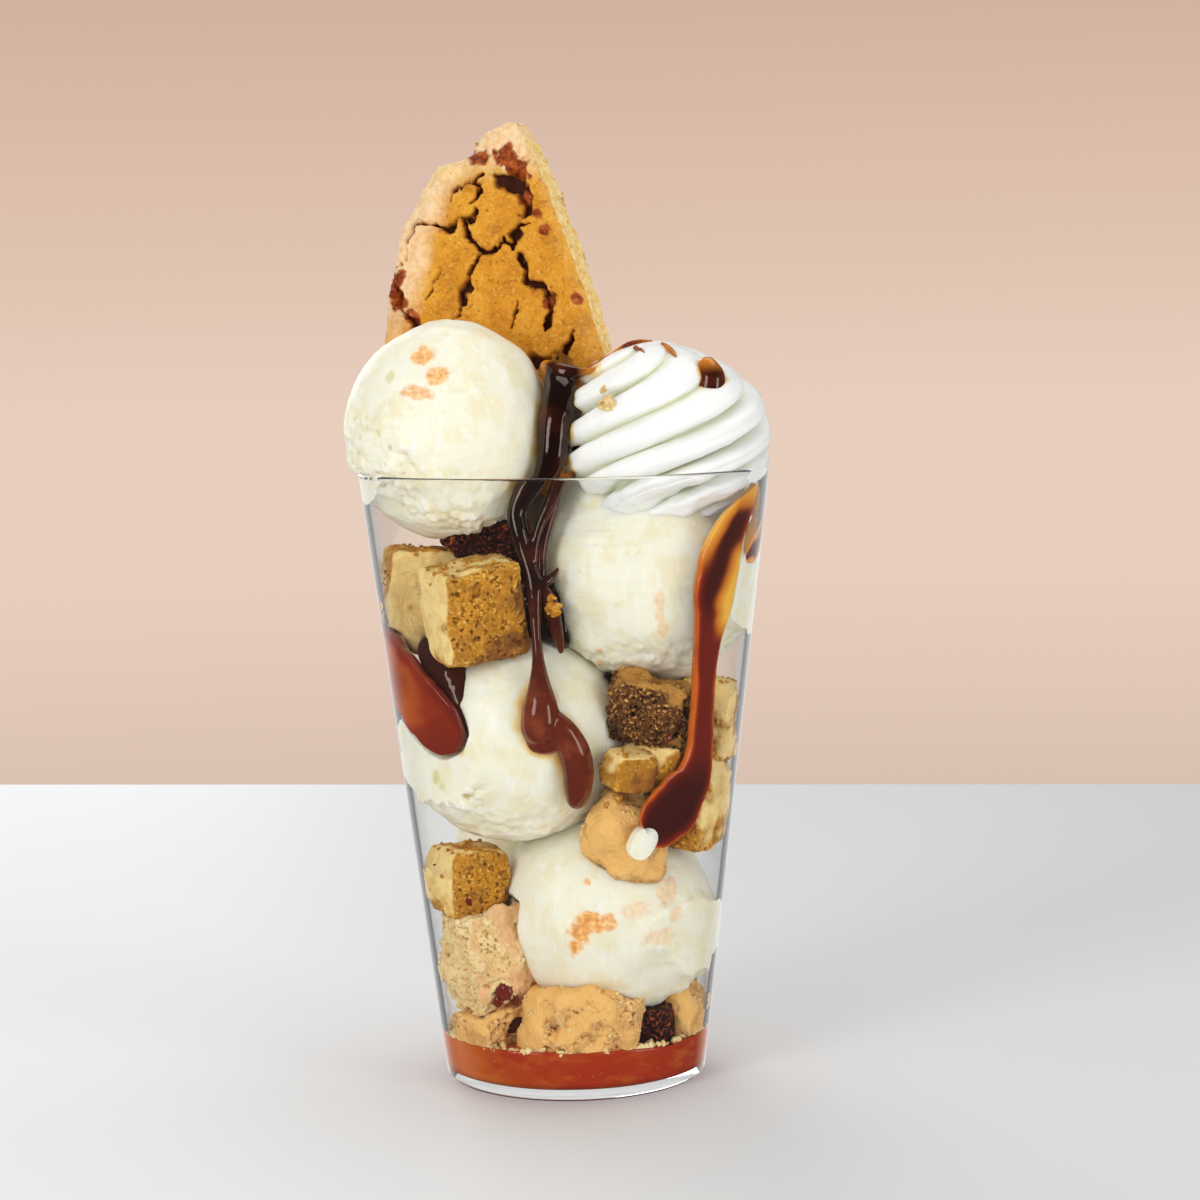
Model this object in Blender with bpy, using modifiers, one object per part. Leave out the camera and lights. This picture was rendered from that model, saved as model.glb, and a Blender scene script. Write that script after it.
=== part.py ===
"""An ice cream sundae in a tall clear tumbler, in metres, +Z up.

The origin is the centre of the tumbler's foot. -Y is the front and +X is the right hand side.
Each piece of food is a solid of its own. A piece that is added later is cut back where it would
run into one that is already there, so that neighbours lie against each other with a small gap.
"""
import math

import bmesh
import bpy
from mathutils import Euler, Vector, noise
from mathutils.bvhtree import BVHTree

MM = 0.001
GAP = 0.3 * MM
CUT_GAP = 0.42 * MM
SOLVERS = (("EXACT", False), ("EXACT", True), ("MANIFOLD", False))
LEAST_LEFT = 0.3
MERGE_DISTANCES = (0.03 * MM, 0.01 * MM, 0.003 * MM, 0.0005 * MM)
SHARP_ANGLE = math.radians(40.0)
COOKIE_FLATTEN = math.radians(3.0)
FLATTEN_ANGLES = (math.radians(8.0), math.radians(5.0), math.radians(2.0))

# Tumbler
GLASS_HEIGHT = 143.0 * MM
RIM_RADIUS = 48.0 * MM
FOOT_RADIUS = 30.5 * MM
WALL = 1.4 * MM
FLOOR = 3.0 * MM
EDGE = 0.4 * MM
FOOT_CHAMFER = 1.2 * MM
TURN_STEPS = 64

# Room for the food: the inside of the tumbler, and the free space over its rim
ROOM_TOP = 260.0 * MM
ROOM_RADIUS = 80.0 * MM

# Caramel at the bottom
CARAMEL_LEVEL = 11.0 * MM
CARAMEL_RINGS = (1.0, 0.5)

# Cream swirl
CREAM_AT = (23.0, -8.0, 150.6)
CREAM_RADIUS = 25.0
CREAM_HALF_HEIGHT = 21.6
CREAM_FLUTES = 7
CREAM_TWIST = math.radians(300.0)
CREAM_GROOVE = 0.17

# Cookie wedge: part of a round cookie that stands on its cut side. Each row of its outline is a
# height with the left and right edge there
COOKIE_OUTLINE = (
    (134.0, -31.0, 21.5), (144.0, -36.0, 19.5), (154.0, -39.5, 16.2), (163.0, -41.2, 13.2),
    (172.5, -41.8, 9.9), (183.0, -40.8, 7.2), (191.0, -38.6, 4.6), (199.3, -36.4, 1.8),
    (208.5, -31.4, -1.6), (214.0, -27.2, -3.9), (216.0, -20.5, -4.9), (219.0, -18.2, -6.2),
    (222.2, -15.6, -7.8), (224.8, -10.9, -9.0))
COOKIE_COLUMNS = 9
COOKIE_HALF_THICKNESS = 7.2
COOKIE_LUMP = 0.8
COOKIE_RIM_WIDTH = 14.0
COOKIE_RIM_SHARE = 0.45
COOKIE_DEPTH = 15.0
COOKIE_MIDDLE = (-12.0, 172.0)
COOKIE_TURN = 0.2
COOKIE_LEAN = 0.07
COOKIE_CRACK_RADIUS = 1.1
COOKIE_CRACKS = (
    ((-35.0, 197.4), (-33.6, 201.0), (-28.1, 201.0), (-25.1, 199.6), (-21.4, 201.6), (-17.7, 203.2)),
    ((-21.0, 200.6), (-21.0, 197.2), (-16.3, 193.6), (-11.3, 196.0), (-8.9, 197.9), (-5.8, 200.4)),
    ((-16.8, 193.0), (-19.9, 189.2), (-20.2, 186.0), (-22.0, 182.6), (-23.5, 178.5)),
    ((-8.4, 194.6), (-7.2, 188.4), (-3.0, 184.8), (-1.4, 180.6), (-1.8, 176.6)),
    ((-6.0, 204.1), (-7.5, 208.1), (-12.8, 211.4)),
    ((-38.9, 187.0), (-36.4, 181.3), (-32.5, 176.1)),
)

# Colours, red green blue, with a roughness
CREAMY = ((0.90, 0.85, 0.68), 0.45)
WHIPPED = ((0.93, 0.91, 0.84), 0.40)
SPONGE = ((0.62, 0.38, 0.13), 0.90)
BISCUIT = ((0.72, 0.46, 0.20), 0.85)
SOAKED = ((0.16, 0.07, 0.03), 0.50)
CHOCOLATE = ((0.11, 0.03, 0.015), 0.12)
CARAMEL = ((0.30, 0.07, 0.02), 0.12)
CLEAR = ((0.92, 0.95, 0.97), 0.02)

# Scoops of ice cream: centre, half sizes, crag height, direction of the scoop's cut side, seed
SCOOPS = {
    "scoop_bottom": ((7.0, -5.0, 38.8), (25.8, 25.2, 24.8), 0.5, (0.2, 0.6, -1.0), 3),
    "scoop_middle": ((-12.5, -9.0, 82.0), (25.8, 25.0, 24.8), 0.9, (-0.3, 0.2, -1.0), 5),
    "scoop_right": ((18.6, -4.0, 118.2), (26.0, 25.5, 25.4), 0.8, (-0.2, 0.2, -1.0), 7),
    "scoop_top": ((-26.2, -6.0, 152.6), (23.8, 24.0, 25.2), 1.2, (-0.7, 0.0, -1.0), 11),
    "scoop_back_low": ((-8.0, 19.5, 52.0), (20.0, 14.0, 18.0), 0.9, (0.0, 0.3, -1.0), 13),
    "scoop_back_middle": ((9.0, 19.5, 87.0), (24.0, 17.0, 20.0), 0.9, (0.2, 0.2, -1.0), 17),
    "scoop_back_high": ((-7.0, 22.0, 119.0), (25.0, 17.0, 19.5), 0.9, (-0.2, 0.3, -1.0), 19),
}
SCOOP_SEGMENTS = (22, 12)
BACK_SEGMENTS = (16, 9)

# Cake cubes and biscuit crumble: centre, size, turn in degrees, crag height, softness of the
# corners, cells along a side, colour, seed
CHUNKS = {
    "cake_cube_front": ((-20.7, -21.5, 112.3), (19, 18, 21), (4, -7, 22), 0.8, 0.16, 3, SPONGE, 2),
    "cake_cube_left": ((-33.8, -3.0, 113.0), (18, 17, 24), (0, 5, 14), 0.7, 0.18, 3, SPONGE, 4),
    "cake_cube_soaked": ((-18.5, -3.5, 125.0), (19, 15, 13), (6, -6, 10), 1.0, 0.22, 3, SOAKED, 6),
    "cake_cube_low": ((-24.0, -13.5, 48.6), (14, 14, 15), (3, 5, 27), 0.7, 0.16, 3, SPONGE, 8),
    "cake_cube_small": ((13.6, -29.0, 75.8), (9, 8, 8), (10, 8, 24), 0.4, 0.18, 2, SPONGE, 10),
    "crumble_upper": ((18.8, -20.5, 88.4), (17, 13, 14), (8, 14, 12), 1.9, 0.45, 3, SOAKED, 12),
    "crumble_mid": ((21.0, -21.0, 77.6), (15, 12, 9), (4, -18, 20), 1.1, 0.30, 3, SPONGE, 14),
    "crumble_round": ((13.6, -22.5, 60.0), (17, 12, 17), (0, 20, 8), 0.9, 0.65, 3, BISCUIT, 16),
    "crumble_wall_high": ((31.8, -9.5, 85.0), (12, 13, 18), (0, 5, -18), 1.2, 0.40, 3, SPONGE, 18),
    "crumble_wall_low": ((28.6, -14.0, 66.4), (15, 14, 20), (0, 10, -22), 1.5, 0.45, 3, SPONGE, 20),
    "crumble_low_left": ((-19.2, -14.5, 30.8), (19, 15, 24), (0, -14, 24), 1.7, 0.40, 4, BISCUIT, 22),
    "crumble_base_left": ((-19.4, -15.0, 15.4), (17, 13, 13), (0, 12, 30), 1.5, 0.40, 3, BISCUIT, 24),
    "crumble_base_slim": ((-6.0, -21.0, 15.4), (9, 10, 15), (0, 14, 8), 1.1, 0.35, 3, BISCUIT, 26),
    "crumble_base_front": ((4.4, -22.5, 16.0), (17, 12, 15), (6, 10, -4), 1.5, 0.35, 3, BISCUIT, 28),
    "crumble_base_soaked": ((15.6, -15.5, 14.6), (12, 11, 10), (0, 8, -20), 1.5, 0.45, 3, SOAKED, 30),
    "crumble_base_right": ((24.4, -8.5, 15.6), (10, 12, 13), (0, -8, -30), 1.1, 0.35, 3, BISCUIT, 32),
    "crumble_back_left": ((-17.0, 16.0, 17.4), (18, 14, 15), (0, 10, 40), 1.4, 0.40, 3, BISCUIT, 34),
    "crumble_back_base": ((4.0, 22.0, 16.4), (19, 13, 14), (0, -8, 5), 1.4, 0.40, 3, BISCUIT, 36),
    "crumble_back_right": ((22.0, 11.5, 21.0), (14, 14, 20), (0, 6, -40), 1.4, 0.40, 3, SPONGE, 38),
    "cake_cube_back_low": ((19.0, 22.0, 58.0), (17, 16, 18), (6, 8, -32), 0.8, 0.18, 3, SPONGE, 40),
    "cake_cube_back_mid": ((-24.0, 16.0, 84.0), (17, 18, 19), (4, -8, 40), 0.8, 0.18, 3, SPONGE, 42),
    "cake_cube_back_high": ((24.0, 22.0, 113.0), (17, 17, 18), (6, 12, -38), 0.8, 0.18, 3, SPONGE, 44),
}
CHUNK_GRAIN = 0.16
BALL_SHARE = 1.22

# Sauce that runs down the inside of the wall: angle round the tumbler in degrees, height,
# half width and thickness at each place along it
WALL_RUNS = {
    "sauce_wall_right": (
        (-18, 138.4, 1.2, 1.6), (-25, 135.0, 3.0, 2.6), (-32, 130.5, 5.4, 3.2),
        (-37, 124.0, 7.4, 3.6), (-39, 114.0, 6.8, 3.4), (-40.6, 104.5, 4.4, 3.0),
        (-40.8, 92.0, 3.6, 3.0), (-39.8, 80.0, 4.2, 3.2), (-42, 73.5, 5.8, 3.8),
        (-49.5, 67.4, 6.6, 4.0), (-57, 63.8, 5.0, 3.4), (-60, 62.5, 2.6, 2.0)),
    "sauce_wall_side": (
        (-1, 139.5, 1.0, 1.2), (-4, 133.0, 2.2, 2.0), (-9, 127.5, 3.2, 2.6), (-16, 124.5, 3.0, 2.6),
        (-22, 123.0, 1.2, 1.4)),
    "sauce_wall_left": (
        (-188, 108.0, 1.6, 1.4), (-179, 103.5, 5.4, 2.8), (-168, 99.5, 8.2, 3.8), (-155, 94.4, 8.8, 4.4),
        (-143, 89.2, 8.0, 4.6), (-133, 85.4, 6.2, 4.2), (-127, 83.4, 2.4, 2.2)),
    "sauce_wall_back": (
        (78, 138.0, 1.2, 1.6), (76, 132.0, 4.0, 2.8), (73, 122.0, 5.2, 3.2), (72, 110.0, 3.2, 2.8),
        (74, 101.0, 4.4, 3.4), (77, 96.0, 1.6, 1.8)),
}
WALL_RUN_COLUMNS = 4
WALL_RUN_ROWS = 2

# Sauce that falls between the pieces: centre line and radius
FALLING_RUNS = {
    "sauce_fall_front": (
        (2.5, 3.0, 169.5, 1.2), (0.5, -6.0, 166.0, 2.6), (-1.6, -13.0, 157.0, 3.0),
        (-4.2, -17.5, 147.5, 3.4), (-8.0, -19.0, 138.5, 3.6), (-9.4, -20.5, 131.0, 3.3),
        (-7.4, -22.5, 123.5, 3.2), (-5.6, -23.5, 116.5, 3.6), (-6.2, -24.0, 109.0, 2.0),
        (-6.3, -26.5, 101.5, 1.6), (-5.4, -30.5, 95.5, 2.2), (-4.2, -32.8, 89.0, 4.7),
        (-2.6, -33.2, 83.6, 4.9), (0.6, -31.6, 78.0, 4.1), (2.8, -29.2, 71.5, 4.0),
        (2.2, -26.6, 65.5, 2.2)),
    "sauce_fall_side": (
        (-3.2, -17.0, 140.5, 1.0), (-3.6, -18.5, 134.5, 1.6), (-5.0, -20.5, 127.5, 1.8),
        (-3.4, -22.0, 120.5, 2.3), (-2.2, -22.8, 113.5, 2.2), (-1.0, -23.0, 106.0, 1.2)),
}
FALL_STEPS = 3
FALL_SIDES = 2

# Pockets of sauce between the pieces: centre and half sizes
POCKETS = {
    "sauce_pocket_centre": ((-3.0, -12.5, 110.5), (8.0, 9.5, 11.0)),
    "sauce_pocket_right": ((12.0, -13.0, 90.0), (9.5, 9.0, 8.0)),
}
POCKET_SEGMENTS = (10, 6)

# Small things fused to what they lie on: centre, half sizes, and what they lie on
BUMPS = {
    "cream_crumb": ((10.6, -27.0, 158.6), (2.7, 2.2, 2.5), "cream_swirl"),
    "cream_sauce": ((33.6, -22.4, 163.0), (3.6, 3.4, 5.4), "cream_swirl"),
    "sauce_crumb": ((-2.6, -25.2, 112.6), (2.3, 1.9, 2.3), "sauce_fall_side"),
}
BUMP_SEGMENTS = (8, 6)

# A drop of melted ice cream at the foot of the right hand run
DROP_AT = (16.6, -31.0, 60.2)
DROP_SIZE = (4.0, 3.2, 4.2)


def clear_scene():
    for item in list(bpy.data.objects):
        bpy.data.objects.remove(item, do_unlink=True)


def make_collection(name):
    group = bpy.data.collections.new(name)
    bpy.context.scene.collection.children.link(group)
    return group


def make_material(name, finish, alpha=1.0):
    colour, roughness = finish
    material = bpy.data.materials.new(name)
    material.use_nodes = True
    shader = material.node_tree.nodes["Principled BSDF"]
    shader.inputs["Base Color"].default_value = (*colour, 1.0)
    shader.inputs["Roughness"].default_value = roughness
    shader.inputs["Metallic"].default_value = 0.0
    shader.inputs["Alpha"].default_value = alpha
    return material


def add_object(name, mesh, group, finish=None, at=(0.0, 0.0, 0.0), turn=(0.0, 0.0, 0.0), alpha=1.0):
    """Put a mesh in the scene, at a place in millimetres and a turn in degrees."""
    item = bpy.data.objects.new(name, mesh)
    item.location = Vector(at) * MM
    item.rotation_euler = Euler([math.radians(angle) for angle in turn])
    group.objects.link(item)
    if finish is not None:
        mesh.materials.append(make_material(name, finish, alpha))
    bpy.context.view_layer.update()
    return item


def mesh_from(bm, name):
    mesh = bpy.data.meshes.new(name)
    bmesh.ops.recalc_face_normals(bm, faces=bm.faces)
    if bm.calc_volume(signed=True) < 0.0:
        bmesh.ops.reverse_faces(bm, faces=bm.faces)
    bm.to_mesh(mesh)
    bm.free()
    return mesh


def smooth_path(stations, steps):
    """Points on a smooth curve through the stations, whatever numbers each station holds."""
    rows = [tuple(station) for station in stations]
    rows = [rows[0]] + rows + [rows[-1]]
    path = []
    for k in range(1, len(rows) - 2):
        before, start, end, after = rows[k - 1:k + 3]
        for step in range(steps):
            t = step / steps
            path.append(tuple(
                0.5 * (2 * b + (c - a) * t + (2 * a - 5 * b + 4 * c - d) * t * t
                       + (3 * b - a - 3 * c + d) * t ** 3)
                for a, b, c, d in zip(before, start, end, after)))
    path.append(rows[-2])
    return path


def ragged(place, grain, seed):
    """Uneven height between about -1 and 1 at a place, the same on each run."""
    shift = Vector((seed * 7.13, seed * 3.71, seed * 5.39))
    return noise.fractal(Vector(place) * grain + shift, 0.7, 2.1, 3)


def box_grid(cells):
    """A cube from -1 to 1, cut into cells along each axis."""
    bm = bmesh.new()
    bmesh.ops.create_cube(bm, size=2.0)
    for axis, count in enumerate(cells):
        for k in range(1, count):
            point = Vector((0.0, 0.0, 0.0))
            point[axis] = -1.0 + 2.0 * k / count
            normal = Vector((0.0, 0.0, 0.0))
            normal[axis] = 1.0
            geometry = bm.verts[:] + bm.edges[:] + bm.faces[:]
            bmesh.ops.bisect_plane(bm, geom=geometry, dist=1e-6, plane_co=point, plane_no=normal)
    return bm


def turned(name, profile, group, finish=None, alpha=1.0):
    """A turned solid from a profile of (radius, height) points, in metres."""
    bm = bmesh.new()
    points = [bm.verts.new((radius, 0.0, height)) for radius, height in profile]
    for first, second in zip(points, points[1:]):
        bm.edges.new((first, second))
    mesh = bpy.data.meshes.new(name)
    bm.to_mesh(mesh)
    bm.free()
    item = add_object(name, mesh, group, finish, alpha=alpha)
    screw = item.modifiers.new("Turn", "SCREW")
    screw.axis = "Z"
    screw.angle = math.tau
    screw.steps = TURN_STEPS
    screw.render_steps = TURN_STEPS
    screw.use_merge_vertices = True
    screw.merge_threshold = 0.00005
    screw.use_smooth_shade = False
    return item


def inner_radius(height):
    """Radius of the tumbler's inside at a height, both in metres."""
    return FOOT_RADIUS - WALL + (RIM_RADIUS - FOOT_RADIUS) * height / GLASS_HEIGHT


def glass_profile():
    foot_rise = FOOT_RADIUS + (RIM_RADIUS - FOOT_RADIUS) * FOOT_CHAMFER / GLASS_HEIGHT
    return (
        (0.0, FLOOR),
        (inner_radius(FLOOR) - FOOT_CHAMFER, FLOOR),
        (inner_radius(FLOOR + FOOT_CHAMFER), FLOOR + FOOT_CHAMFER),
        (inner_radius(GLASS_HEIGHT - EDGE), GLASS_HEIGHT - EDGE),
        (RIM_RADIUS - WALL + EDGE, GLASS_HEIGHT),
        (RIM_RADIUS - EDGE, GLASS_HEIGHT),
        (RIM_RADIUS, GLASS_HEIGHT - EDGE),
        (foot_rise, FOOT_CHAMFER),
        (FOOT_RADIUS - FOOT_CHAMFER, 0.0),
        (0.0, 0.0),
    )


def room_profile(spare):
    """The space that the food may fill, with some air left to the tumbler."""
    base = FLOOR + spare
    corner = base + FOOT_CHAMFER
    return (
        (0.0, ROOM_TOP),
        (ROOM_RADIUS, ROOM_TOP),
        (ROOM_RADIUS, GLASS_HEIGHT + spare),
        (inner_radius(GLASS_HEIGHT) - spare, GLASS_HEIGHT + spare),
        (inner_radius(corner) - spare, corner),
        (inner_radius(base) - FOOT_CHAMFER - spare, base),
        (0.0, base),
    )


def caramel_profile():
    """The pool of caramel: floor, corner, wall, and an uneven top made later."""
    base = FLOOR + GAP
    corner = base + FOOT_CHAMFER
    edge = inner_radius(CARAMEL_LEVEL) - GAP
    top = [(edge * ring, CARAMEL_LEVEL) for ring in reversed(CARAMEL_RINGS)]
    return (
        (0.0, CARAMEL_LEVEL),
        *top,
        (inner_radius(corner) - GAP, corner),
        (inner_radius(base) - FOOT_CHAMFER - GAP, base),
        (0.0, base),
    )


def scoop_mesh(name, half_sizes, crag, cut_side, seed, segments):
    """A ball of ice cream: a smooth crown, and a ragged skirt towards its cut side."""
    bm = bmesh.new()
    bmesh.ops.create_uvsphere(bm, u_segments=segments[0], v_segments=segments[1], radius=1.0)
    side = Vector(cut_side).normalized()
    for vert in bm.verts:
        way = vert.co.normalized()
        towards = way.dot(side)
        skirt = math.exp(-((towards - 0.55) / 0.28) ** 2)
        swell = 1.0 + 0.025 * ragged(way, 1.6, seed) + 0.02 * skirt
        place = Vector([way[k] * half_sizes[k] for k in range(3)]) * swell
        rough = crag * (0.25 + 1.1 * skirt) * ragged(way, 5.5, seed + 1)
        vert.co = (place + way * rough) * MM
    return mesh_from(bm, name)


def chunk_mesh(name, size, crag, soft, cells, seed):
    """A cube of cake or a lump of crumble, with worn corners and a torn surface."""
    bm = box_grid((cells, cells, cells))
    for vert in bm.verts:
        cube = vert.co.copy()
        ball = cube.normalized() * BALL_SHARE
        place = cube.lerp(ball, soft)
        place = Vector([place[k] * size[k] / 2.0 for k in range(3)])
        way = cube.normalized()
        place += way * crag * ragged(place, CHUNK_GRAIN, seed)
        vert.co = place * MM
    return mesh_from(bm, name)


def cream_mesh(name):
    """A piped swirl: rounded ridges with sharp grooves between them, which wind up to a peak."""
    bm = bmesh.new()
    per_flute = 5
    bmesh.ops.create_uvsphere(bm, u_segments=CREAM_FLUTES * per_flute, v_segments=14, radius=1.0)
    for vert in bm.verts:
        height = max(-1.0, min(1.0, vert.co.z))
        ring = math.sqrt(1.0 - height * height)
        share = (height + 1.0) / 2.0
        angle = math.atan2(vert.co.y, vert.co.x)
        ridge = abs(math.sin(angle * CREAM_FLUTES / 2.0)) ** 0.8
        depth = CREAM_GROOVE * min(1.0, 2.2 * ring)
        radius = CREAM_RADIUS * (1.0 - depth * (1.0 - ridge))
        if height < 0.0:
            ring = ring ** 0.8
        else:
            ring = ring ** 1.12
        wave = 1.0 + 0.03 * ragged((ring, share, angle), 1.3, 9)
        turn = angle + CREAM_TWIST * share
        lean = 2.2 * max(0.0, height) ** 3
        vert.co.x = (radius * ring * wave * math.cos(turn) - lean) * MM
        vert.co.y = (radius * ring * wave * math.sin(turn)) * MM
        vert.co.z = CREAM_HALF_HEIGHT * height * MM
    return mesh_from(bm, name)


def cookie_face(x, height):
    """How far the cookie's front stands out at a place: thin at its round rim, and a little lumpy."""
    for (low, low_left, _), (high, high_left, _) in zip(COOKIE_OUTLINE, COOKIE_OUTLINE[1:]):
        if height <= high:
            break
    left = low_left + (high_left - low_left) * (height - low) / (high - low)
    inward = max(0.0, min(1.0, (x - left) / COOKIE_RIM_WIDTH))
    share = COOKIE_RIM_SHARE + (1.0 - COOKIE_RIM_SHARE) * math.sqrt(inward)
    return COOKIE_HALF_THICKNESS * share + COOKIE_LUMP * ragged((x, 0.0, height), 0.12, 21)


def cookie_place(x, outward, height):
    """A place on the cookie, which is turned to show its cut side and leans back a little."""
    middle_x, middle_z = COOKIE_MIDDLE
    y = COOKIE_DEPTH + outward - COOKIE_TURN * (x - middle_x) + COOKIE_LEAN * (height - middle_z)
    return x + COOKIE_TURN * outward, y, height


def cookie_mesh(name):
    """A wedge of cookie that stands up, with a domed front and a flatter back."""
    rows = len(COOKIE_OUTLINE) - 1
    bm = box_grid((COOKIE_COLUMNS, 2, rows))
    for vert in bm.verts:
        across, through, up = vert.co
        height, left, right = COOKIE_OUTLINE[round((up + 1.0) / 2.0 * rows)]
        x = left + (right - left) * (across + 1.0) / 2.0
        face = cookie_face(x, height)
        if abs(through) < 0.5:
            x += 0.9 * across
        if through > 0.5:
            face = face * 0.5 + COOKIE_HALF_THICKNESS * 0.35
        vert.co = Vector(cookie_place(x, face * through, height)) * MM
    return mesh_from(bm, name)


def crack_cookie(cookie, cutters):
    """Cut a groove along each crack of the cookie's front."""
    for line in COOKIE_CRACKS:
        stations = []
        for k, (x, height) in enumerate(line):
            ends = k in (0, len(line) - 1)
            radius = COOKIE_CRACK_RADIUS * (0.4 if ends else 1.0)
            stations.append((*cookie_place(x, -cookie_face(x, height), height), radius))
        groove = add_object("groove", tube_mesh("groove", stations, cutters, 1, 0), cutters)
        boolean(cookie, groove, "DIFFERENCE")
        bpy.data.objects.remove(groove, do_unlink=True)


def wall_run_mesh(name, stations):
    """Sauce on the inside of the wall: flat where it touches the glass, and domed inwards."""
    path = smooth_path(stations, WALL_RUN_ROWS)
    rows = len(path) - 1
    bm = box_grid((WALL_RUN_COLUMNS, 1, rows))
    for vert in bm.verts:
        across, through, along = vert.co
        row = round((along + 1.0) / 2.0 * rows)
        degrees, height, half, thickness = path[row]
        before = path[max(row - 1, 0)]
        after = path[min(row + 1, rows)]
        reach = inner_radius(height * MM) / MM
        run = Vector((math.radians(after[0] - before[0]) * reach, after[1] - before[1])).normalized()
        offset = Vector((-run.y, run.x)) * half * across
        height += offset.y
        reach = inner_radius(height * MM) / MM - GAP / MM
        angle = math.radians(degrees) + offset.x / reach
        if through < 0.0:
            reach -= 0.25 + (thickness - 0.25) * math.sqrt(max(0.0, 1.0 - (0.93 * across) ** 2))
        vert.co = Vector((reach * math.cos(angle), reach * math.sin(angle), height)) * MM
    return mesh_from(bm, name)


def tube_mesh(name, stations, group, steps, resolution):
    """A curve with its own radius at each point, made a closed mesh."""
    path = smooth_path(stations, steps)
    curve = bpy.data.curves.new(name, "CURVE")
    curve.dimensions = "3D"
    curve.bevel_depth = 1.0
    curve.bevel_resolution = resolution
    curve.use_fill_caps = True
    curve.resolution_u = 1
    curve.render_resolution_u = 0
    spline = curve.splines.new("POLY")
    spline.points.add(len(path) - 1)
    for point, (x, y, z, radius) in zip(spline.points, path):
        point.co = (x * MM, y * MM, z * MM, 1.0)
        point.radius = radius * MM
    item = bpy.data.objects.new(name + "_line", curve)
    group.objects.link(item)
    bpy.context.view_layer.update()
    solid = item.evaluated_get(bpy.context.evaluated_depsgraph_get())
    mesh = bpy.data.meshes.new_from_object(solid)
    bpy.data.objects.remove(item, do_unlink=True)
    bm = bmesh.new()
    bm.from_mesh(mesh)
    bmesh.ops.remove_doubles(bm, verts=bm.verts, dist=0.01 * MM)
    return mesh_from(bm, name)


def blob_mesh(name, half_sizes, segments):
    bm = bmesh.new()
    bmesh.ops.create_uvsphere(bm, u_segments=segments[0], v_segments=segments[1], radius=1.0)
    for vert in bm.verts:
        vert.co = Vector([vert.co[k] * half_sizes[k] for k in range(3)]) * MM
    return mesh_from(bm, name)


def world_tree(item):
    """A search tree of an object's faces, in world space."""
    bm = bmesh.new()
    bm.from_mesh(item.data)
    bm.transform(item.matrix_world)
    tree = BVHTree.FromBMesh(bm)
    bm.free()
    return tree


def swollen_copy(item, group, spare):
    """A copy whose faces stand out by the gap that neighbours keep."""
    bm = bmesh.new()
    bm.from_mesh(item.data)
    bm.normal_update()
    moves = [(vert, vert.normal * spare * min(vert.calc_shell_factor(), 1.8)) for vert in bm.verts]
    for vert, move in moves:
        vert.co += move
    mesh = bpy.data.meshes.new(item.name + "_swollen")
    bm.to_mesh(mesh)
    bm.free()
    copy = bpy.data.objects.new(item.name + "_swollen", mesh)
    copy.matrix_world = item.matrix_world
    copy.hide_render = True
    copy.display_type = "WIRE"
    group.objects.link(copy)
    bpy.context.view_layer.update()
    return copy


def volume(mesh):
    bm = bmesh.new()
    bm.from_mesh(mesh)
    total = bm.calc_volume(signed=True)
    bm.free()
    return total


def boolean(item, tool, operation):
    """Apply one Boolean to an object's mesh, by the first solver that leaves a sound body."""
    start = item.data
    for solver, use_self in SOLVERS:
        modifier = item.modifiers.new("Cut", "BOOLEAN")
        modifier.operation = operation
        modifier.solver = solver
        modifier.use_self = use_self
        modifier.object = tool
        bpy.context.view_layer.update()
        result = item.evaluated_get(bpy.context.evaluated_depsgraph_get())
        item.data = bpy.data.meshes.new_from_object(result)
        item.modifiers.remove(modifier)
        if volume(item.data) > LEAST_LEFT * volume(start) and tidy_mesh(item):
            return
        item.data = start


def islands(bm):
    """The faces of a mesh, in connected groups."""
    left = set(bm.faces)
    groups = []
    while left:
        stack = [left.pop()]
        group = []
        while stack:
            face = stack.pop()
            group.append(face)
            for edge in face.edges:
                for other in edge.link_faces:
                    if other in left:
                        left.remove(other)
                        stack.append(other)
        groups.append(group)
    return groups


def group_volume(group):
    total = 0.0
    for face in group:
        first = face.verts[0].co
        for second, third in zip(face.verts[1:], face.verts[2:]):
            total += first.dot(second.co.cross(third.co)) / 6.0
    return total


def is_closed(bm):
    return all(len(edge.link_faces) == 2 for edge in bm.edges)


def tidy_mesh(item, flatten=0.0):
    """Weld slivers, keep the largest body, and make triangles, as far as the body stays closed.

    With an angle to flatten, faces that meet at less than it are joined first.
    """
    for merge in MERGE_DISTANCES:
        bm = bmesh.new()
        bm.from_mesh(item.data)
        bmesh.ops.remove_doubles(bm, verts=bm.verts, dist=merge)
        if flatten:
            bmesh.ops.dissolve_limit(bm, angle_limit=flatten, verts=bm.verts, edges=bm.edges)
        bmesh.ops.dissolve_degenerate(bm, edges=bm.edges, dist=merge)
        groups = sorted(islands(bm), key=group_volume)
        scraps = [face for group in groups[:-1] for face in group]
        if scraps:
            bmesh.ops.delete(bm, geom=scraps, context="FACES")
        bmesh.ops.triangulate(bm, faces=bm.faces)
        closed = is_closed(bm)
        if closed:
            bm.to_mesh(item.data)
        bm.free()
        if closed:
            return True
    return False


def shade(item):
    item.data.shade_smooth()
    item.data.set_sharp_from_angle(angle=SHARP_ANGLE)


def as_mesh(item):
    """Apply an object's modifiers."""
    result = item.evaluated_get(bpy.context.evaluated_depsgraph_get())
    mesh = bpy.data.meshes.new_from_object(result)
    item.modifiers.clear()
    item.data = mesh


def flatten(item, table):
    """Join faces that are almost flat, as far as the object stays clear of its neighbours."""
    kept = item.data
    others = [world_tree(other) for other in (*table.placed, table.glass)]
    for angle in FLATTEN_ANGLES:
        item.data = kept.copy()
        if tidy_mesh(item, angle):
            tree = world_tree(item)
            if not any(tree.overlap(other) for other in others):
                return
    item.data = kept


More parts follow.
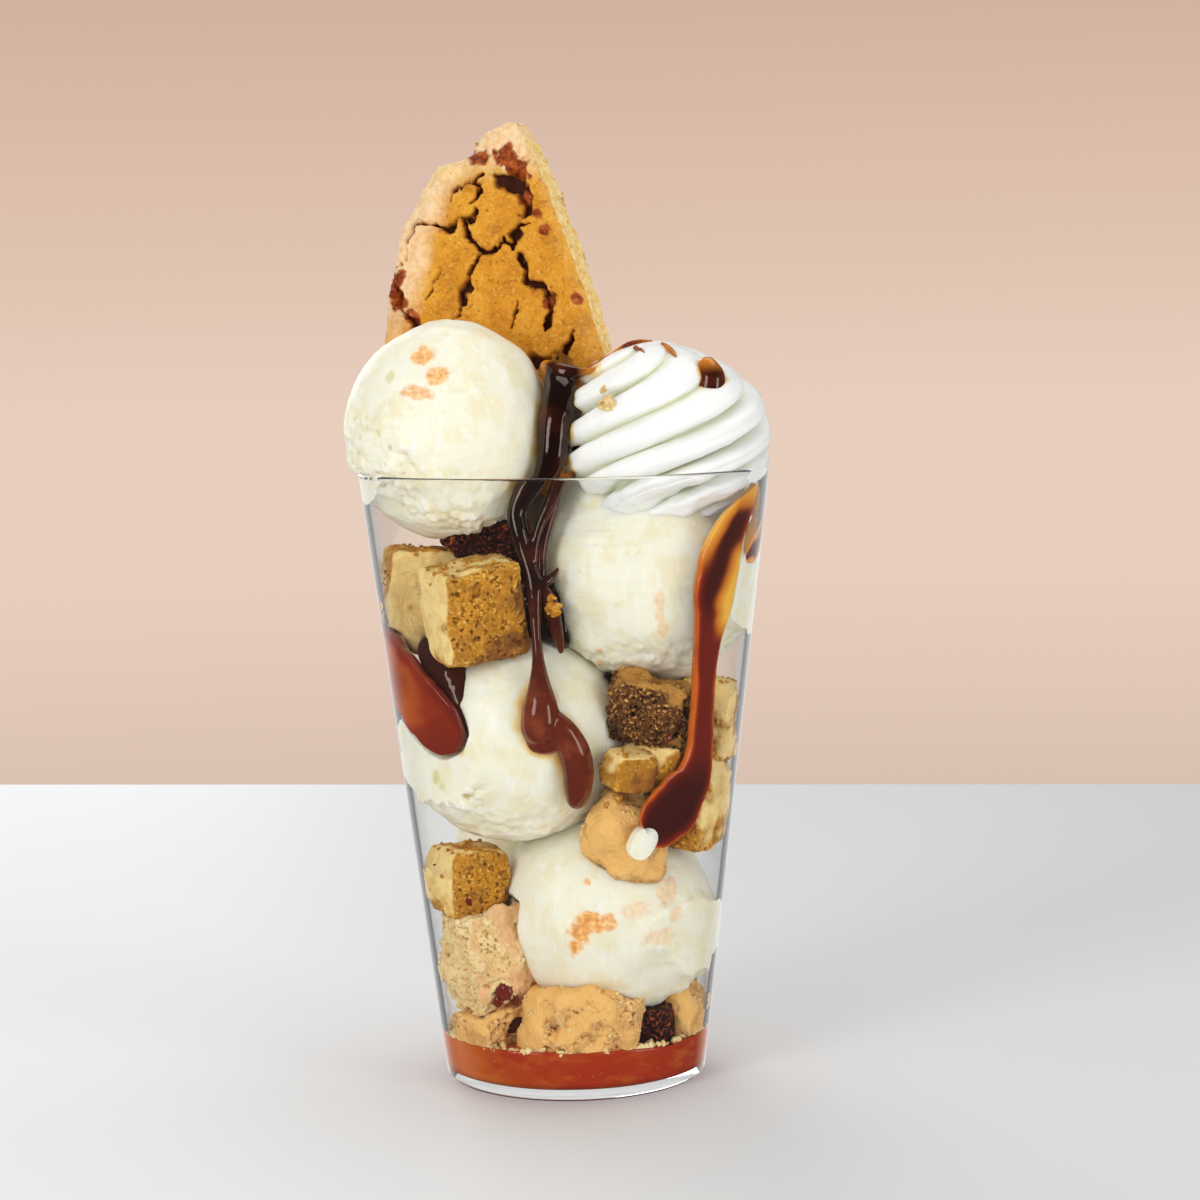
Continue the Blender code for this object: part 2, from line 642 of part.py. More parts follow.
class Table:
    """The collections, the tumbler, the room inside it, and the food that is in place so far."""

    def __init__(self):
        self.sundae = make_collection("ice_cream_sundae")
        self.cutters = make_collection("cutters")
        self.glass = turned("glass", glass_profile(), self.sundae, CLEAR, alpha=0.3)
        as_mesh(self.glass)
        self.room = turned("room", room_profile(GAP), self.cutters)
        as_mesh(self.room)
        self.placed = []


def fuse_bumps(item, table):
    """Join the small things that lie on an object to it."""
    for name, (at, half_sizes, carrier) in BUMPS.items():
        if carrier == item.name:
            bump = add_object(name, blob_mesh(name, half_sizes, BUMP_SEGMENTS), table.cutters, at=at)
            boolean(item, bump, "UNION")
            bpy.data.objects.remove(bump, do_unlink=True)


def fit_in(item, table):
    """Keep an object inside the tumbler's room, and cut it back round the pieces already there."""
    if world_tree(item).overlap(world_tree(table.room)):
        boolean(item, table.room, "INTERSECT")
    for other in table.placed:
        tool = swollen_copy(other, table.cutters, CUT_GAP)
        if world_tree(item).overlap(world_tree(tool)):
            boolean(item, tool, "DIFFERENCE")
        bpy.data.objects.remove(tool, do_unlink=True)
    flatten(item, table)
    table.placed.append(item)


def add_wall_sauces(table):
    for name, stations in WALL_RUNS.items():
        run = add_object(name, wall_run_mesh(name, stations), table.sundae, CARAMEL)
        tidy_mesh(run)
        table.placed.append(run)


def add_melted_drop(table):
    mesh = blob_mesh("melted_drop", DROP_SIZE, POCKET_SEGMENTS)
    fit_in(add_object("melted_drop", mesh, table.sundae, WHIPPED, DROP_AT), table)


def add_chunks(table):
    for name, (at, size, turn, crag, soft, cells, finish, seed) in CHUNKS.items():
        mesh = chunk_mesh(name, size, crag, soft, cells, seed)
        fit_in(add_object(name, mesh, table.sundae, finish, at, turn), table)


def add_cookie(table):
    cookie = add_object("cookie_wedge", cookie_mesh("cookie_wedge"), table.sundae, SPONGE)
    tidy_mesh(cookie, COOKIE_FLATTEN)
    crack_cookie(cookie, table.cutters)
    fit_in(cookie, table)


def add_scoops(table):
    for name, (at, half_sizes, crag, cut_side, seed) in SCOOPS.items():
        segments = BACK_SEGMENTS if "back" in name else SCOOP_SEGMENTS
        mesh = scoop_mesh(name, half_sizes, crag, cut_side, seed, segments)
        fit_in(add_object(name, mesh, table.sundae, CREAMY, at), table)


def add_cream(table):
    cream = add_object("cream_swirl", cream_mesh("cream_swirl"), table.sundae, WHIPPED, CREAM_AT)
    fuse_bumps(cream, table)
    fit_in(cream, table)


def add_caramel(table):
    pool = turned("caramel_pool", caramel_profile(), table.sundae, CARAMEL)
    as_mesh(pool)
    fit_in(pool, table)


def add_falling_sauces(table):
    for name, stations in FALLING_RUNS.items():
        mesh = tube_mesh(name, stations, table.cutters, FALL_STEPS, FALL_SIDES)
        run = add_object(name, mesh, table.sundae, CHOCOLATE)
        fuse_bumps(run, table)
        fit_in(run, table)


def add_pockets(table):
    for name, (at, half_sizes) in POCKETS.items():
        mesh = blob_mesh(name, half_sizes, POCKET_SEGMENTS)
        fit_in(add_object(name, mesh, table.sundae, CHOCOLATE, at), table)


def main():
    clear_scene()
    table = Table()
    add_wall_sauces(table)
    add_melted_drop(table)
    add_chunks(table)
    add_cookie(table)
    add_scoops(table)
    add_cream(table)
    add_caramel(table)
    add_falling_sauces(table)
    add_pockets(table)
    for item in table.placed:
        shade(item)
    bpy.data.objects.remove(table.room, do_unlink=True)


main()
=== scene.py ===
"""Looks of the ice cream sundae: the fine shape and the finish of every piece, the light and the camera.

Places and sizes are in millimetres until a mesh is made from them, which is in metres.
"""
import math

import bmesh
import bpy
import numpy as np
from mathutils import Matrix, Vector, noise
from mathutils.bvhtree import BVHTree


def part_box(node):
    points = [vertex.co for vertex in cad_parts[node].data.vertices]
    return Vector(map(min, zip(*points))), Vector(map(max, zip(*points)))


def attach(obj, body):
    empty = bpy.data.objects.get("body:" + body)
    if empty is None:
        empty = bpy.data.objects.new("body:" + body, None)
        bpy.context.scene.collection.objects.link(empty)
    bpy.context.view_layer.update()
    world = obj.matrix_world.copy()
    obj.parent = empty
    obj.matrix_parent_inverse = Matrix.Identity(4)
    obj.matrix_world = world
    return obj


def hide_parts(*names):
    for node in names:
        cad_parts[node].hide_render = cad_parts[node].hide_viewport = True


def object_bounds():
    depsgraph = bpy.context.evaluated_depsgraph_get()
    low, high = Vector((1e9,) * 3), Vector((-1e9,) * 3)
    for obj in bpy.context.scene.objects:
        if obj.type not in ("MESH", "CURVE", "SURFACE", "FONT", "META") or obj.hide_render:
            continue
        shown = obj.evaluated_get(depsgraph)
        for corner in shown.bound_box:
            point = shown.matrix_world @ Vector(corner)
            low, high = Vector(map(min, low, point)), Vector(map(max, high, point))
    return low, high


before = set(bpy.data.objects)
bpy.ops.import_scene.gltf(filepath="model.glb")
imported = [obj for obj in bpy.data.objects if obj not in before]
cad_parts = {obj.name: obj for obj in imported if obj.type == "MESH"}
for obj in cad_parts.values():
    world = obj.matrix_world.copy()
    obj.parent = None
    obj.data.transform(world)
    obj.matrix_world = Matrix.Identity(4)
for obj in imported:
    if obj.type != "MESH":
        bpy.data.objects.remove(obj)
solid_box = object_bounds()

MM = 0.001

# Tumbler: its box is the frame's, and the rest are its own sizes
GLASS_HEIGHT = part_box("glass")[1].z / MM
RIM_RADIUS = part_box("glass")[1].x / MM
FOOT_RADIUS = 30.5
WALL = 1.4
FLOOR = 3.0
ROUNDING = 0.6
CORNER = 1.2
TURN_STEPS = 192
INTO_WALL = 0.25
CARAMEL_LEVEL = 11.0
SUNK = 0.5

# How much closer the fine pieces lie to each other than the solids do
CLOSER = 0.35

# How far inside the solids' box the fine pieces begin to be held back
BOX_EASE = 1.2

# Scoops of ice cream: centre, half sizes, crag height, direction of the cut side, cells, seed
SCOOPS = {
    "scoop_bottom": ((7.0, -5.0, 38.8), (25.8, 25.2, 24.8), 0.5, (0.2, 0.6, -1.0), 100, 3),
    "scoop_middle": ((-12.5, -9.0, 82.0), (25.8, 25.0, 24.8), 0.9, (-0.3, 0.2, -1.0), 100, 5),
    "scoop_right": ((18.6, -4.0, 118.2), (26.0, 25.5, 25.4), 0.8, (-0.2, 0.2, -1.0), 100, 7),
    "scoop_top": ((-26.2, -6.0, 152.6), (23.8, 24.0, 25.2), 1.2, (-0.7, 0.0, -1.0), 100, 11),
    "scoop_back_low": ((-8.0, 19.5, 52.0), (20.0, 14.0, 18.0), 0.9, (0.0, 0.3, -1.0), 50, 13),
    "scoop_back_middle": ((9.0, 19.5, 87.0), (24.0, 17.0, 20.0), 0.9, (0.2, 0.2, -1.0), 50, 17),
    "scoop_back_high": ((-7.0, 22.0, 119.0), (25.0, 17.0, 19.5), 0.9, (-0.2, 0.3, -1.0), 50, 19),
}
CUT_DEPTH = 1.3
# Where a scoop's ragged skirt lies, from 1 along its cut side to -1, and how wide the skirt is
SKIRT_AT = 0.55
SKIRT_WIDTH = 0.28
# Height and size of a scoop's dents and of its scrapes, and depth and size of its holes
DENTS = (0.40, 15.0)
SCRAPES = (0.22, 1.7)
HOLES = (0.8, 5.5)

# Toffee and fruit that show in the ice cream's front: x, height, radius, how wide for its
# height, strength
TOFFEE_SPOTS = {
    "scoop_top": ((-30.8, 170.1, 1.9, 1.5, 0.9), (-27.6, 165.6, 2.1, 1.3, 0.9),
                  (-32.7, 161.7, 1.5, 2.4, 0.75)),
    "scoop_bottom": (
        (0.6, 36.0, 1.9, 0.9, 1.0), (1.6, 39.0, 2.6, 1.0, 1.0), (4.0, 41.4, 2.4, 1.4, 1.0),
        (7.6, 41.6, 1.7, 1.2, 0.9), (3.6, 50.3, 1.0, 1.1, 0.8), (14.4, 44.2, 1.7, 1.8, 0.35),
        (21.4, 46.9, 2.6, 1.0, 0.45), (18.8, 37.2, 2.2, 1.5, 0.35), (23.4, 42.0, 1.8, 1.0, 0.4)),
    "scoop_right": ((7.5, 102.5, 0.9, 0.8, 0.7), (7.3, 99.0, 0.8, 1.0, 0.6),
                    (20.9, 113.0, 3.2, 0.35, 0.45), (21.6, 107.5, 2.2, 0.5, 0.4)),
}
GREEN_SPOTS = {
    "scoop_top": ((-38.5, 165.1, 1.2, 0.7, 0.7), (-24.5, 143.8, 1.1, 1.6, 0.35)),
    "scoop_middle": ((-29.7, 74.7, 1.5, 0.5, 0.9), (-28.6, 72.4, 1.0, 0.6, 0.7),
                     (-17.0, 62.5, 1.2, 2.2, 0.35)),
    "scoop_right": ((0.8, 108.4, 1.4, 1.3, 0.4), (1.6, 104.0, 1.2, 1.5, 0.35),
                    (10.0, 97.6, 1.0, 1.4, 0.35)),
}

# Cubes of cake and lumps of crumble: finish, cells, crumb height, pore depth, direction that has a
# crust (none for a torn lump), direction that the sauce has soaked, seed
LUMPS = {
    "cake_cube_front": ("sponge", 72, 0.45, 0.50, (-0.9, -0.25, 0.45), (0.9, -0.2, -0.5), 2),
    "cake_cube_left": ("sponge", 60, 0.40, 0.35, (-0.2, -1.0, 0.2), (1.0, 0.4, -0.4), 4),
    "cake_cube_soaked": ("soaked", 52, 0.45, 0.40, None, None, 6),
    "cake_cube_low": ("sponge", 64, 0.45, 0.50, (-0.9, -0.2, 0.6), (0.9, 0.2, -0.7), 8),
    "cake_cube_small": ("sponge", 36, 0.15, 0.15, (-0.3, -0.2, 1.0), (0.7, -0.3, -0.7), 10),
    "cake_cube_back_low": ("sponge", 44, 0.30, 0.40, (0.9, 0.3, 0.4), (-0.9, 0.2, -0.5), 40),
    "cake_cube_back_mid": ("sponge", 44, 0.30, 0.40, (-0.8, 0.4, 0.4), (0.9, 0.2, -0.5), 42),
    "cake_cube_back_high": ("sponge", 44, 0.30, 0.40, (0.8, 0.4, 0.4), (-0.9, 0.2, -0.5), 44),
    "crumble_upper": ("crumble_dark", 68, 1.25, 0.75, (0.3, -0.2, 1.0), (-0.6, -0.5, -0.6), 12),
    "crumble_mid": ("sponge", 50, 0.35, 0.25, (-0.2, -0.5, 1.0), (0.4, -0.2, -1.0), 14),
    "crumble_round": ("biscuit", 64, 0.70, 0.50, (-0.2, -1.0, 0.2), (0.9, -0.2, 0.2), 16),
    "crumble_wall_high": ("sponge", 50, 0.60, 0.40, (0.4, -0.6, 0.6), (-0.8, 0.2, -0.7), 18),
    "crumble_wall_low": ("sponge", 56, 0.80, 0.45, (0.5, -0.5, 0.6), (-0.8, 0.2, -0.7), 20),
    "crumble_low_left": ("crumb_pale", 76, 1.20, 0.60, (0.9, -0.3, 0.6), (1.0, 0.2, -0.9), 22),
    "crumble_base_left": ("biscuit", 60, 0.95, 0.60, (-0.2, -0.4, 1.0), (0.8, 0.5, -0.2), 24),
    "crumble_base_slim": ("biscuit", 42, 0.60, 0.45, (-0.8, -0.4, 0.6), (-0.2, 0.9, -0.3), 26),
    "crumble_base_front": ("biscuit", 68, 0.95, 0.65, (-0.7, -0.6, 0.8), (0.6, 0.8, -0.2), 28),
    "crumble_base_soaked": ("soaked", 44, 0.80, 0.50, None, None, 30),
    "crumble_base_right": ("biscuit", 44, 0.55, 0.40, (-0.3, -0.6, 0.9), (-0.8, 0.5, -0.3), 32),
    "crumble_back_left": ("biscuit", 40, 0.70, 0.45, (-0.3, 0.5, 1.0), (0.6, -0.8, -0.2), 34),
    "crumble_back_base": ("biscuit", 40, 0.70, 0.45, (0.1, 0.6, 1.0), (0.0, -0.9, -0.2), 36),
    "crumble_back_right": ("sponge", 40, 0.60, 0.40, (0.4, 0.5, 0.8), (-0.6, -0.8, -0.2), 38),
}
# Sizes of the coarse and the fine grains of each kind of crumb, and its uneven lumps' height
GRAINS = {"sponge": (1.9, 0.95, 0.65), "soaked": (2.4, 1.2, 1.0), "crumble_dark": (2.8, 1.3, 1.3),
          "biscuit": (3.0, 1.4, 1.9), "crumb_pale": (3.5, 1.6, 1.2)}
# Rounds of evening out that wear the edges of each kind round, and the growth that makes up for a round
WORN = {"sponge": 28, "soaked": 26, "crumble_dark": 26, "biscuit": 44, "crumb_pale": 36}
WORN_GROWTH = 0.022
# How far a side faces the crust's direction, or lies towards the sauce, to begin and to be full
CRUST_FROM = (0.35, 0.70)
SOAKED_FROM = (0.45, 1.05)
# Name and colours of each kind of crumb: painted shade in hollows, body, painted highlight on crests,
# crust, soaked parts
CRUMBS = {
    "sponge": ("sponge cake", (0.17, 0.062, 0.006), (0.60, 0.255, 0.018), (0.88, 0.56, 0.12),
               (0.99, 0.755, 0.31), (0.20, 0.055, 0.010)),
    "biscuit": ("biscuit", (0.34, 0.115, 0.030), (0.86, 0.49, 0.16), (0.96, 0.74, 0.38),
                (0.94, 0.55, 0.17), (0.26, 0.060, 0.020)),
    "crumb_pale": ("pale crumble", (0.58, 0.29, 0.070), (0.95, 0.715, 0.34), (0.97, 0.83, 0.50),
                   (0.86, 0.50, 0.24), (0.40, 0.110, 0.040)),
    "crumble_dark": ("dark crumble", (0.010, 0.003, 0.002), (0.17, 0.060, 0.014), (0.74, 0.40, 0.10),
                     (0.60, 0.30, 0.06), (0.020, 0.006, 0.003)),
    "soaked": ("soaked cake", (0.003, 0.001, 0.001), (0.040, 0.007, 0.003), (0.46, 0.090, 0.024),
               (0.22, 0.030, 0.010), (0.010, 0.003, 0.002)),
}
SLOTS = {"sponge": "cake", "soaked": "soaked_cake", "crumble_dark": "soaked_cake",
         "biscuit": "biscuit", "crumb_pale": "biscuit"}

# Cream swirl
CREAM_AT = (23.0, -8.0, 150.6)
CREAM_RADIUS = 25.0
CREAM_HALF_HEIGHT = 21.6
CREAM_FLUTES = 7
CREAM_TWIST = math.radians(300.0)
CREAM_STEEPER = 0.30
CREAM_GROOVE = 0.25
CREAM_CELLS = 96

# Cookie wedge: each row of its outline is a height with the left and right edge there
COOKIE_OUTLINE = (
    (134.0, -31.0, 21.5), (144.0, -36.0, 19.5), (154.0, -39.5, 16.2), (163.0, -41.2, 13.2),
    (172.5, -41.8, 9.9), (183.0, -40.8, 7.2), (191.0, -38.6, 4.6), (199.3, -36.4, 1.8),
    (208.5, -31.4, -1.6), (214.0, -27.2, -3.9), (216.0, -20.5, -4.9), (219.0, -18.2, -6.2),
    (222.2, -15.6, -7.8), (224.6, -10.9, -9.0))
COOKIE_CELLS = (172, 14, 240)
COOKIE_HIDDEN = (165.0, 0.16)
COOKIE_HALF_THICKNESS = 7.2
COOKIE_LUMP = 0.8
COOKIE_RIM_WIDTH = 14.0
COOKIE_RIM_SHARE = 0.45
COOKIE_DEPTH = 15.0
COOKIE_MIDDLE = (-12.0, 172.0)
COOKIE_TURN = 0.2
COOKIE_LEAN = 0.07
CRACK_DEPTH = 2.4
PLATE_HEIGHT = 0.55
PLATE_REACH = 4.5
# Heights between which the cookie's tip turns torn, and then pale
COOKIE_TORN_FROM = (209.0, 213.5)
COOKIE_TIP_FROM = (212.0, 217.5)

# Cracks of the cookie's front: half width, then the places (x, height) that the crack passes
CRACKS = (
    (0.55, (-35.0, 196.6), (-33.8, 200.7), (-31.4, 201.6), (-28.1, 201.0)),
    (0.95, (-28.1, 201.0), (-25.1, 199.6), (-22.4, 201.4), (-19.1, 202.0), (-17.7, 203.2)),
    (0.70, (-24.4, 205.6), (-22.3, 209.3), (-18.9, 210.6), (-17.3, 211.8)),
    (0.85, (-21.0, 201.2), (-21.1, 197.2), (-19.3, 195.5), (-16.3, 193.6), (-13.4, 194.9),
     (-11.3, 196.0), (-9.4, 195.1)),
    (1.15, (-9.4, 193.9), (-8.9, 197.9), (-7.2, 200.2), (-5.8, 200.2)),
    (1.70, (-6.7, 202.8), (-5.7, 205.3), (-7.9, 208.6), (-10.0, 209.5), (-12.8, 211.4)),
    (0.95, (-16.3, 193.6), (-18.5, 191.3), (-19.9, 189.2), (-20.0, 186.4), (-21.9, 184.8),
     (-22.0, 182.0)),
    (0.45, (-22.0, 182.0), (-23.5, 178.5), (-24.8, 175.6)),
    (1.05, (-8.1, 192.9), (-7.4, 189.9), (-7.0, 187.1), (-4.2, 185.4), (-2.1, 184.4)),
    (1.20, (-2.1, 184.4), (-1.3, 180.6), (-1.8, 176.8)),
    (1.50, (-38.9, 191.4), (-38.5, 185.1), (-36.4, 181.3), (-34.3, 177.8), (-32.5, 175.1)),
    (0.60, (4.4, 174.2), (2.6, 171.2), (2.5, 168.6)),
    (1.50, (2.5, 167.4), (-0.6, 167.0), (-4.6, 168.1)),
    (0.30, (-35.6, 196.0), (-36.4, 192.6)),
    (0.30, (-31.0, 182.6), (-29.4, 186.4), (-26.8, 190.0)),
    (0.35, (-10.6, 176.4), (-9.3, 180.2), (-9.7, 183.0)),
    (0.35, (-19.6, 205.6), (-17.4, 208.0), (-18.4, 210.8)),
)
COOKIE_TOFFEE = (
    (-38.4, 187.4, 3.0), (-37.6, 183.0, 2.2), (-35.0, 178.6, 2.2), (-18.3, 216.0, 2.6),
    (-10.8, 215.6, 3.2), (-7.6, 213.2, 2.4), (-6.1, 206.6, 2.0), (-4.6, 202.8, 1.7), (-2.2, 198.6, 1.4),
    (5.0, 182.4, 1.5), (-1.6, 181.4, 1.6))

# Sauce on the inside of the wall: angle round the tumbler in degrees, height, half width, thickness
WALL_RUNS = {
    "sauce_wall_right": (
        (-20, 139.2, 0.6, 1.0), (-24, 136.0, 2.4, 2.0), (-29, 132.6, 4.4, 2.6), (-34, 128.5, 6.0, 3.2),
        (-37, 123.5, 7.4, 3.6), (-38.5, 118.0, 7.4, 3.6), (-39.2, 112.0, 6.4, 3.4),
        (-40.6, 105.0, 4.4, 3.0), (-40.8, 97.0, 3.6, 3.0), (-40.4, 88.0, 3.5, 3.0),
        (-39.8, 80.0, 4.2, 3.2), (-42, 73.5, 5.8, 3.8), (-48, 68.8, 7.2, 4.2), (-54, 65.6, 7.2, 4.2),
        (-59, 63.4, 5.8, 3.6), (-62.5, 62.0, 3.8, 2.6)),
    "sauce_wall_side": (
        (-1, 140.2, 0.4, 0.8), (-2.4, 136.5, 1.2, 1.6), (-4, 132.0, 2.2, 2.0), (-8, 128.2, 3.4, 2.6),
        (-13, 125.6, 3.6, 2.8), (-18, 124.0, 3.2, 2.6), (-24, 122.6, 1.4, 1.6)),
    "sauce_wall_left": (
        (-188, 108.0, 1.6, 1.4), (-179, 103.5, 5.6, 2.8), (-168, 99.5, 8.2, 3.8),
        (-155, 94.4, 8.8, 4.4), (-143, 89.2, 8.0, 4.6), (-134, 85.6, 6.4, 4.2),
        (-127.5, 83.4, 2.6, 2.2)),
    "sauce_wall_back": (
        (78, 138.0, 1.2, 1.6), (76, 132.0, 4.0, 2.8), (73, 122.0, 5.2, 3.2), (72, 110.0, 3.2, 2.8),
        (74, 101.0, 4.4, 3.4), (77, 96.0, 1.6, 1.8)),
}
RUN_CELLS = (36, 3)
RUN_STEPS = 14
STAIN_SHARE = 0.75

# Sauce that falls between the pieces: centre line and radius
FALLING_RUNS = {
    "sauce_fall_front": (
        ((-3.4, -9.5, 166.8, 1.7), (-1.0, -12.0, 165.9, 2.3), (2.0, -14.0, 165.4, 1.8),
         (5.4, -14.5, 165.6, 1.0), (8.6, -14.5, 166.4, 0.5)),
        ((0.0, -4.0, 167.0, 2.8), (-0.6, -10.0, 164.1, 3.5), (-0.2, -14.6, 160.3, 4.1),
         (-1.0, -17.0, 156.5, 4.2), (-1.8, -18.6, 152.5, 4.0), (-2.2, -19.4, 148.7, 3.8),
         (-2.8, -19.8, 145.1, 3.4), (-4.5, -20.0, 141.3, 2.6)),
        ((3.3, -13.0, 162.5, 1.6), (4.3, -15.0, 159.6, 1.6), (2.9, -17.0, 156.5, 1.6),
         (2.0, -18.0, 153.4, 1.2)),
        ((-2.6, -19.5, 143.0, 2.2), (-6.3, -20.0, 139.7, 2.4), (-9.3, -20.5, 136.9, 2.3),
         (-10.8, -21.0, 134.0, 2.2), (-10.2, -22.0, 130.1, 2.2), (-9.2, -23.0, 126.1, 1.9),
         (-8.1, -24.0, 122.3, 1.9), (-7.1, -25.0, 118.5, 2.1), (-6.9, -26.0, 114.5, 1.7),
         (-6.8, -26.8, 110.1, 1.4), (-6.6, -28.0, 105.6, 1.2), (-6.3, -29.6, 101.3, 1.5),
         (-6.1, -31.4, 97.0, 2.3), (-6.0, -32.4, 93.4, 3.3), (-6.0, -32.8, 89.9, 4.3),
         (-6.1, -32.8, 86.6, 4.5)),
        ((1.6, -19.5, 141.8, 1.5), (-1.0, -20.0, 138.5, 1.6), (-3.4, -21.0, 135.2, 1.5),
         (-5.4, -22.0, 131.4, 1.3), (-6.6, -23.0, 127.2, 1.1), (-7.0, -24.0, 123.4, 1.2)),
        ((-5.0, -32.6, 89.1, 2.6), (-2.6, -32.8, 87.4, 2.9), (-0.4, -32.6, 84.6, 3.3),
         (1.3, -32.0, 81.0, 3.6), (2.1, -31.2, 76.8, 3.6), (2.0, -30.0, 72.6, 3.2),
         (1.5, -28.6, 69.2, 2.2)),
        ((-9.4, -31.0, 85.9, 1.5), (-7.6, -32.4, 83.2, 2.0), (-4.6, -33.2, 82.6, 2.1),
         (-1.8, -33.2, 83.6, 1.8)),
        ((-11.2, -23.4, 119.8, 0.6), (-8.8, -24.9, 119.0, 1.2), (-5.9, -25.8, 118.1, 1.4),
         (-3.3, -25.2, 119.4, 1.0), (-1.6, -23.8, 121.4, 0.6)),
    ),
    "sauce_fall_side": (
        ((3.6, -15.0, 151.6, 1.9), (4.4, -16.4, 148.6, 2.3), (3.2, -18.0, 145.6, 1.7)),
        ((1.4, -18.4, 141.0, 1.0), (-1.6, -19.4, 136.4, 1.1), (-3.8, -20.6, 131.0, 1.3),
         (-5.2, -22.0, 125.4, 1.4), (-5.4, -23.6, 119.8, 1.6)),
        ((-4.8, -24.6, 116.6, 1.5), (-3.5, -24.4, 113.2, 2.0), (-2.5, -24.2, 109.3, 1.7),
         (-1.7, -23.8, 105.2, 1.2), (-1.3, -23.4, 102.4, 0.7)),
    ),
}
# Painted shade on the falling sauce: heights, and how much of the near-black shade colour it has at
# each, more higher up where it lies deep between the pieces
DARK_HEIGHTS = (92.0, 104.0, 122.0, 140.0, 150.0)
DARK_SHARES = (0.20, 0.58, 0.75, 0.86, 0.94)
AMBER_PLACES = ((5.6, -14.0, 161.0, 1.6), (5.4, -15.0, 158.0, 1.4), (3.6, -17.6, 145.2, 1.2),
                (7.4, -14.0, 166.0, 2.0), (0.4, -19.5, 142.4, 0.6), (-3.8, -10.0, 167.6, 1.6))
THIN_SAUCE = (
    ((5.0, -12.0, 166.0, 0.5), (8.4, -13.0, 168.2, 0.45), (11.0, -12.0, 170.6, 0.35),
     (13.0, -11.0, 171.6, 0.6), (15.5, -11.0, 172.0, 0.9), (18.0, -11.0, 172.2, 0.7),
     (21.0, -11.0, 172.0, 0.35)),
    ((17.0, -14.0, 171.0, 0.7), (18.2, -16.0, 170.0, 0.55), (19.0, -18.0, 168.8, 0.3)),
    ((23.0, -13.0, 171.4, 0.5), (24.4, -15.0, 170.2, 0.8), (25.4, -17.0, 168.8, 0.75),
     (26.2, -19.0, 166.9, 0.35)),
)
SAUCE_VOXEL = 0.32
BEAD_STEP = 0.45

# Sauce that fills gaps, near-black so that it also stands in for the shade there: centres and radii of
# the drops that run together
POCKETS = {
    "sauce_film_left": ((-30.0, -16.0, 103.0, 4.0), (-27.0, -21.0, 99.0, 4.6),
                        (-24.2, -24.6, 93.5, 4.0), (-22.8, -26.6, 88.5, 3.2),
                        (-22.8, -27.4, 85.8, 2.2)),
    "sauce_film_low": ((-13.0, -11.0, 25.0, 4.4), (-14.4, -13.0, 20.0, 4.4), (-14.0, -16.0, 15.5, 3.4)),
}

# Small things that lie on the cream and on the sauce: centre, radius
CRUMB_HEAPS = {
    "crumb_orange": ((10.4, -27.6, 158.4, 2.6), (9.4, -26.2, 161.6, 1.3), (44.6, -9.0, 152.9, 1.5)),
    "crumb_gold": ((-2.7, -26.4, 112.6, 2.5), (-3.3, -26.0, 115.2, 1.3), (-18.9, 8.0, 218.7, 0.8),
                   (8.6, -28.5, 67.4, 1.8), (11.0, -28.6, 69.4, 1.4)),
}
CREAM_SAUCE = ((33.0, -20.8, 166.2, 2.4), (33.8, -21.8, 163.4, 3.3), (33.2, -22.6, 160.4, 2.9),
               (32.0, -22.6, 158.4, 1.6))

# Crumbs that lie on the pool, along the wall: how many, how far in, and their radius
POOL_CRUMBS = (260, 3.2, 1.15)
# Crumbs on each lump: how many, and their radius; and how many on the cookie's torn side
LUMP_CRUMBS = (34, 0.62)
COOKIE_CRUMBS = 90

# Bits of toffee in the crumble: centre, radius
TOFFEE_BITS = ((-15.6, -22.6, 24.4, 1.9), (-13.6, -21.4, 22.6, 1.3), (-17.2, -22.4, 22.0, 1.2),
               (-12.0, -20.0, 33.4, 1.0), (22.5, -27.5, 83.0, 0.9), (-3.4, -27.6, 13.0, 1.2),
               (11.6, -26.0, 14.4, 1.0), (-24.0, -27.5, 46.0, 0.9))

# Drop of melted ice cream
DROP = ((15.2, -31.4, 58.8, 3.0), (16.4, -31.0, 60.8, 3.1))

# Colours, linear red green blue
IVORY = (0.88, 0.855, 0.70)
IVORY_DEEP = (0.85, 0.79, 0.56)
# lighter streaks of the ice cream, and also the painted highlight on its crests
IVORY_STREAK_AND_CREST_HIGHLIGHT = (0.92, 0.92, 0.84)
# painted shade in the ice cream's hollows
IVORY_HOLLOW_SHADE = (0.66, 0.52, 0.22)
IVORY_STAINED = (0.91, 0.80, 0.50)
GREENISH = (0.62, 0.58, 0.16)
TOFFEE = (0.90, 0.46, 0.13)
TOFFEE_DARK = (0.72, 0.30, 0.07)
TOFFEE_LIGHT = (0.96, 0.68, 0.34)
STAIN_WARM = (0.87, 0.64, 0.28)
STAIN = (0.76, 0.42, 0.11)
STAIN_DEEP = (0.42, 0.14, 0.03)
WHIPPED = (0.935, 0.93, 0.895)
WHIPPED_SHADE = (0.875, 0.895, 0.865)
# painted shade in the cream's grooves
WHIPPED_GROOVE_SHADE = (0.80, 0.81, 0.64)
WHIPPED_STAINED = (0.93, 0.82, 0.56)
COOKIE_GOLD = (0.70, 0.290, 0.018)
COOKIE_DEEP = (0.52, 0.195, 0.011)
COOKIE_BRIGHT = (0.78, 0.375, 0.034)
COOKIE_PALE = (0.97, 0.73, 0.44)
COOKIE_SIDE = (0.97, 0.68, 0.24)
COOKIE_SUGAR = (0.88, 0.54, 0.15)
COOKIE_PORE = (0.36, 0.13, 0.012)
COOKIE_TAN = (0.90, 0.55, 0.27)
COOKIE_CREAM = (0.96, 0.72, 0.46)
COOKIE_CRUMB = (0.86, 0.48, 0.11)
COOKIE_STRAW = (0.95, 0.80, 0.46)
# painted shade in the cookie's hollows
COOKIE_HOLLOW_SHADE = (0.30, 0.10, 0.012)
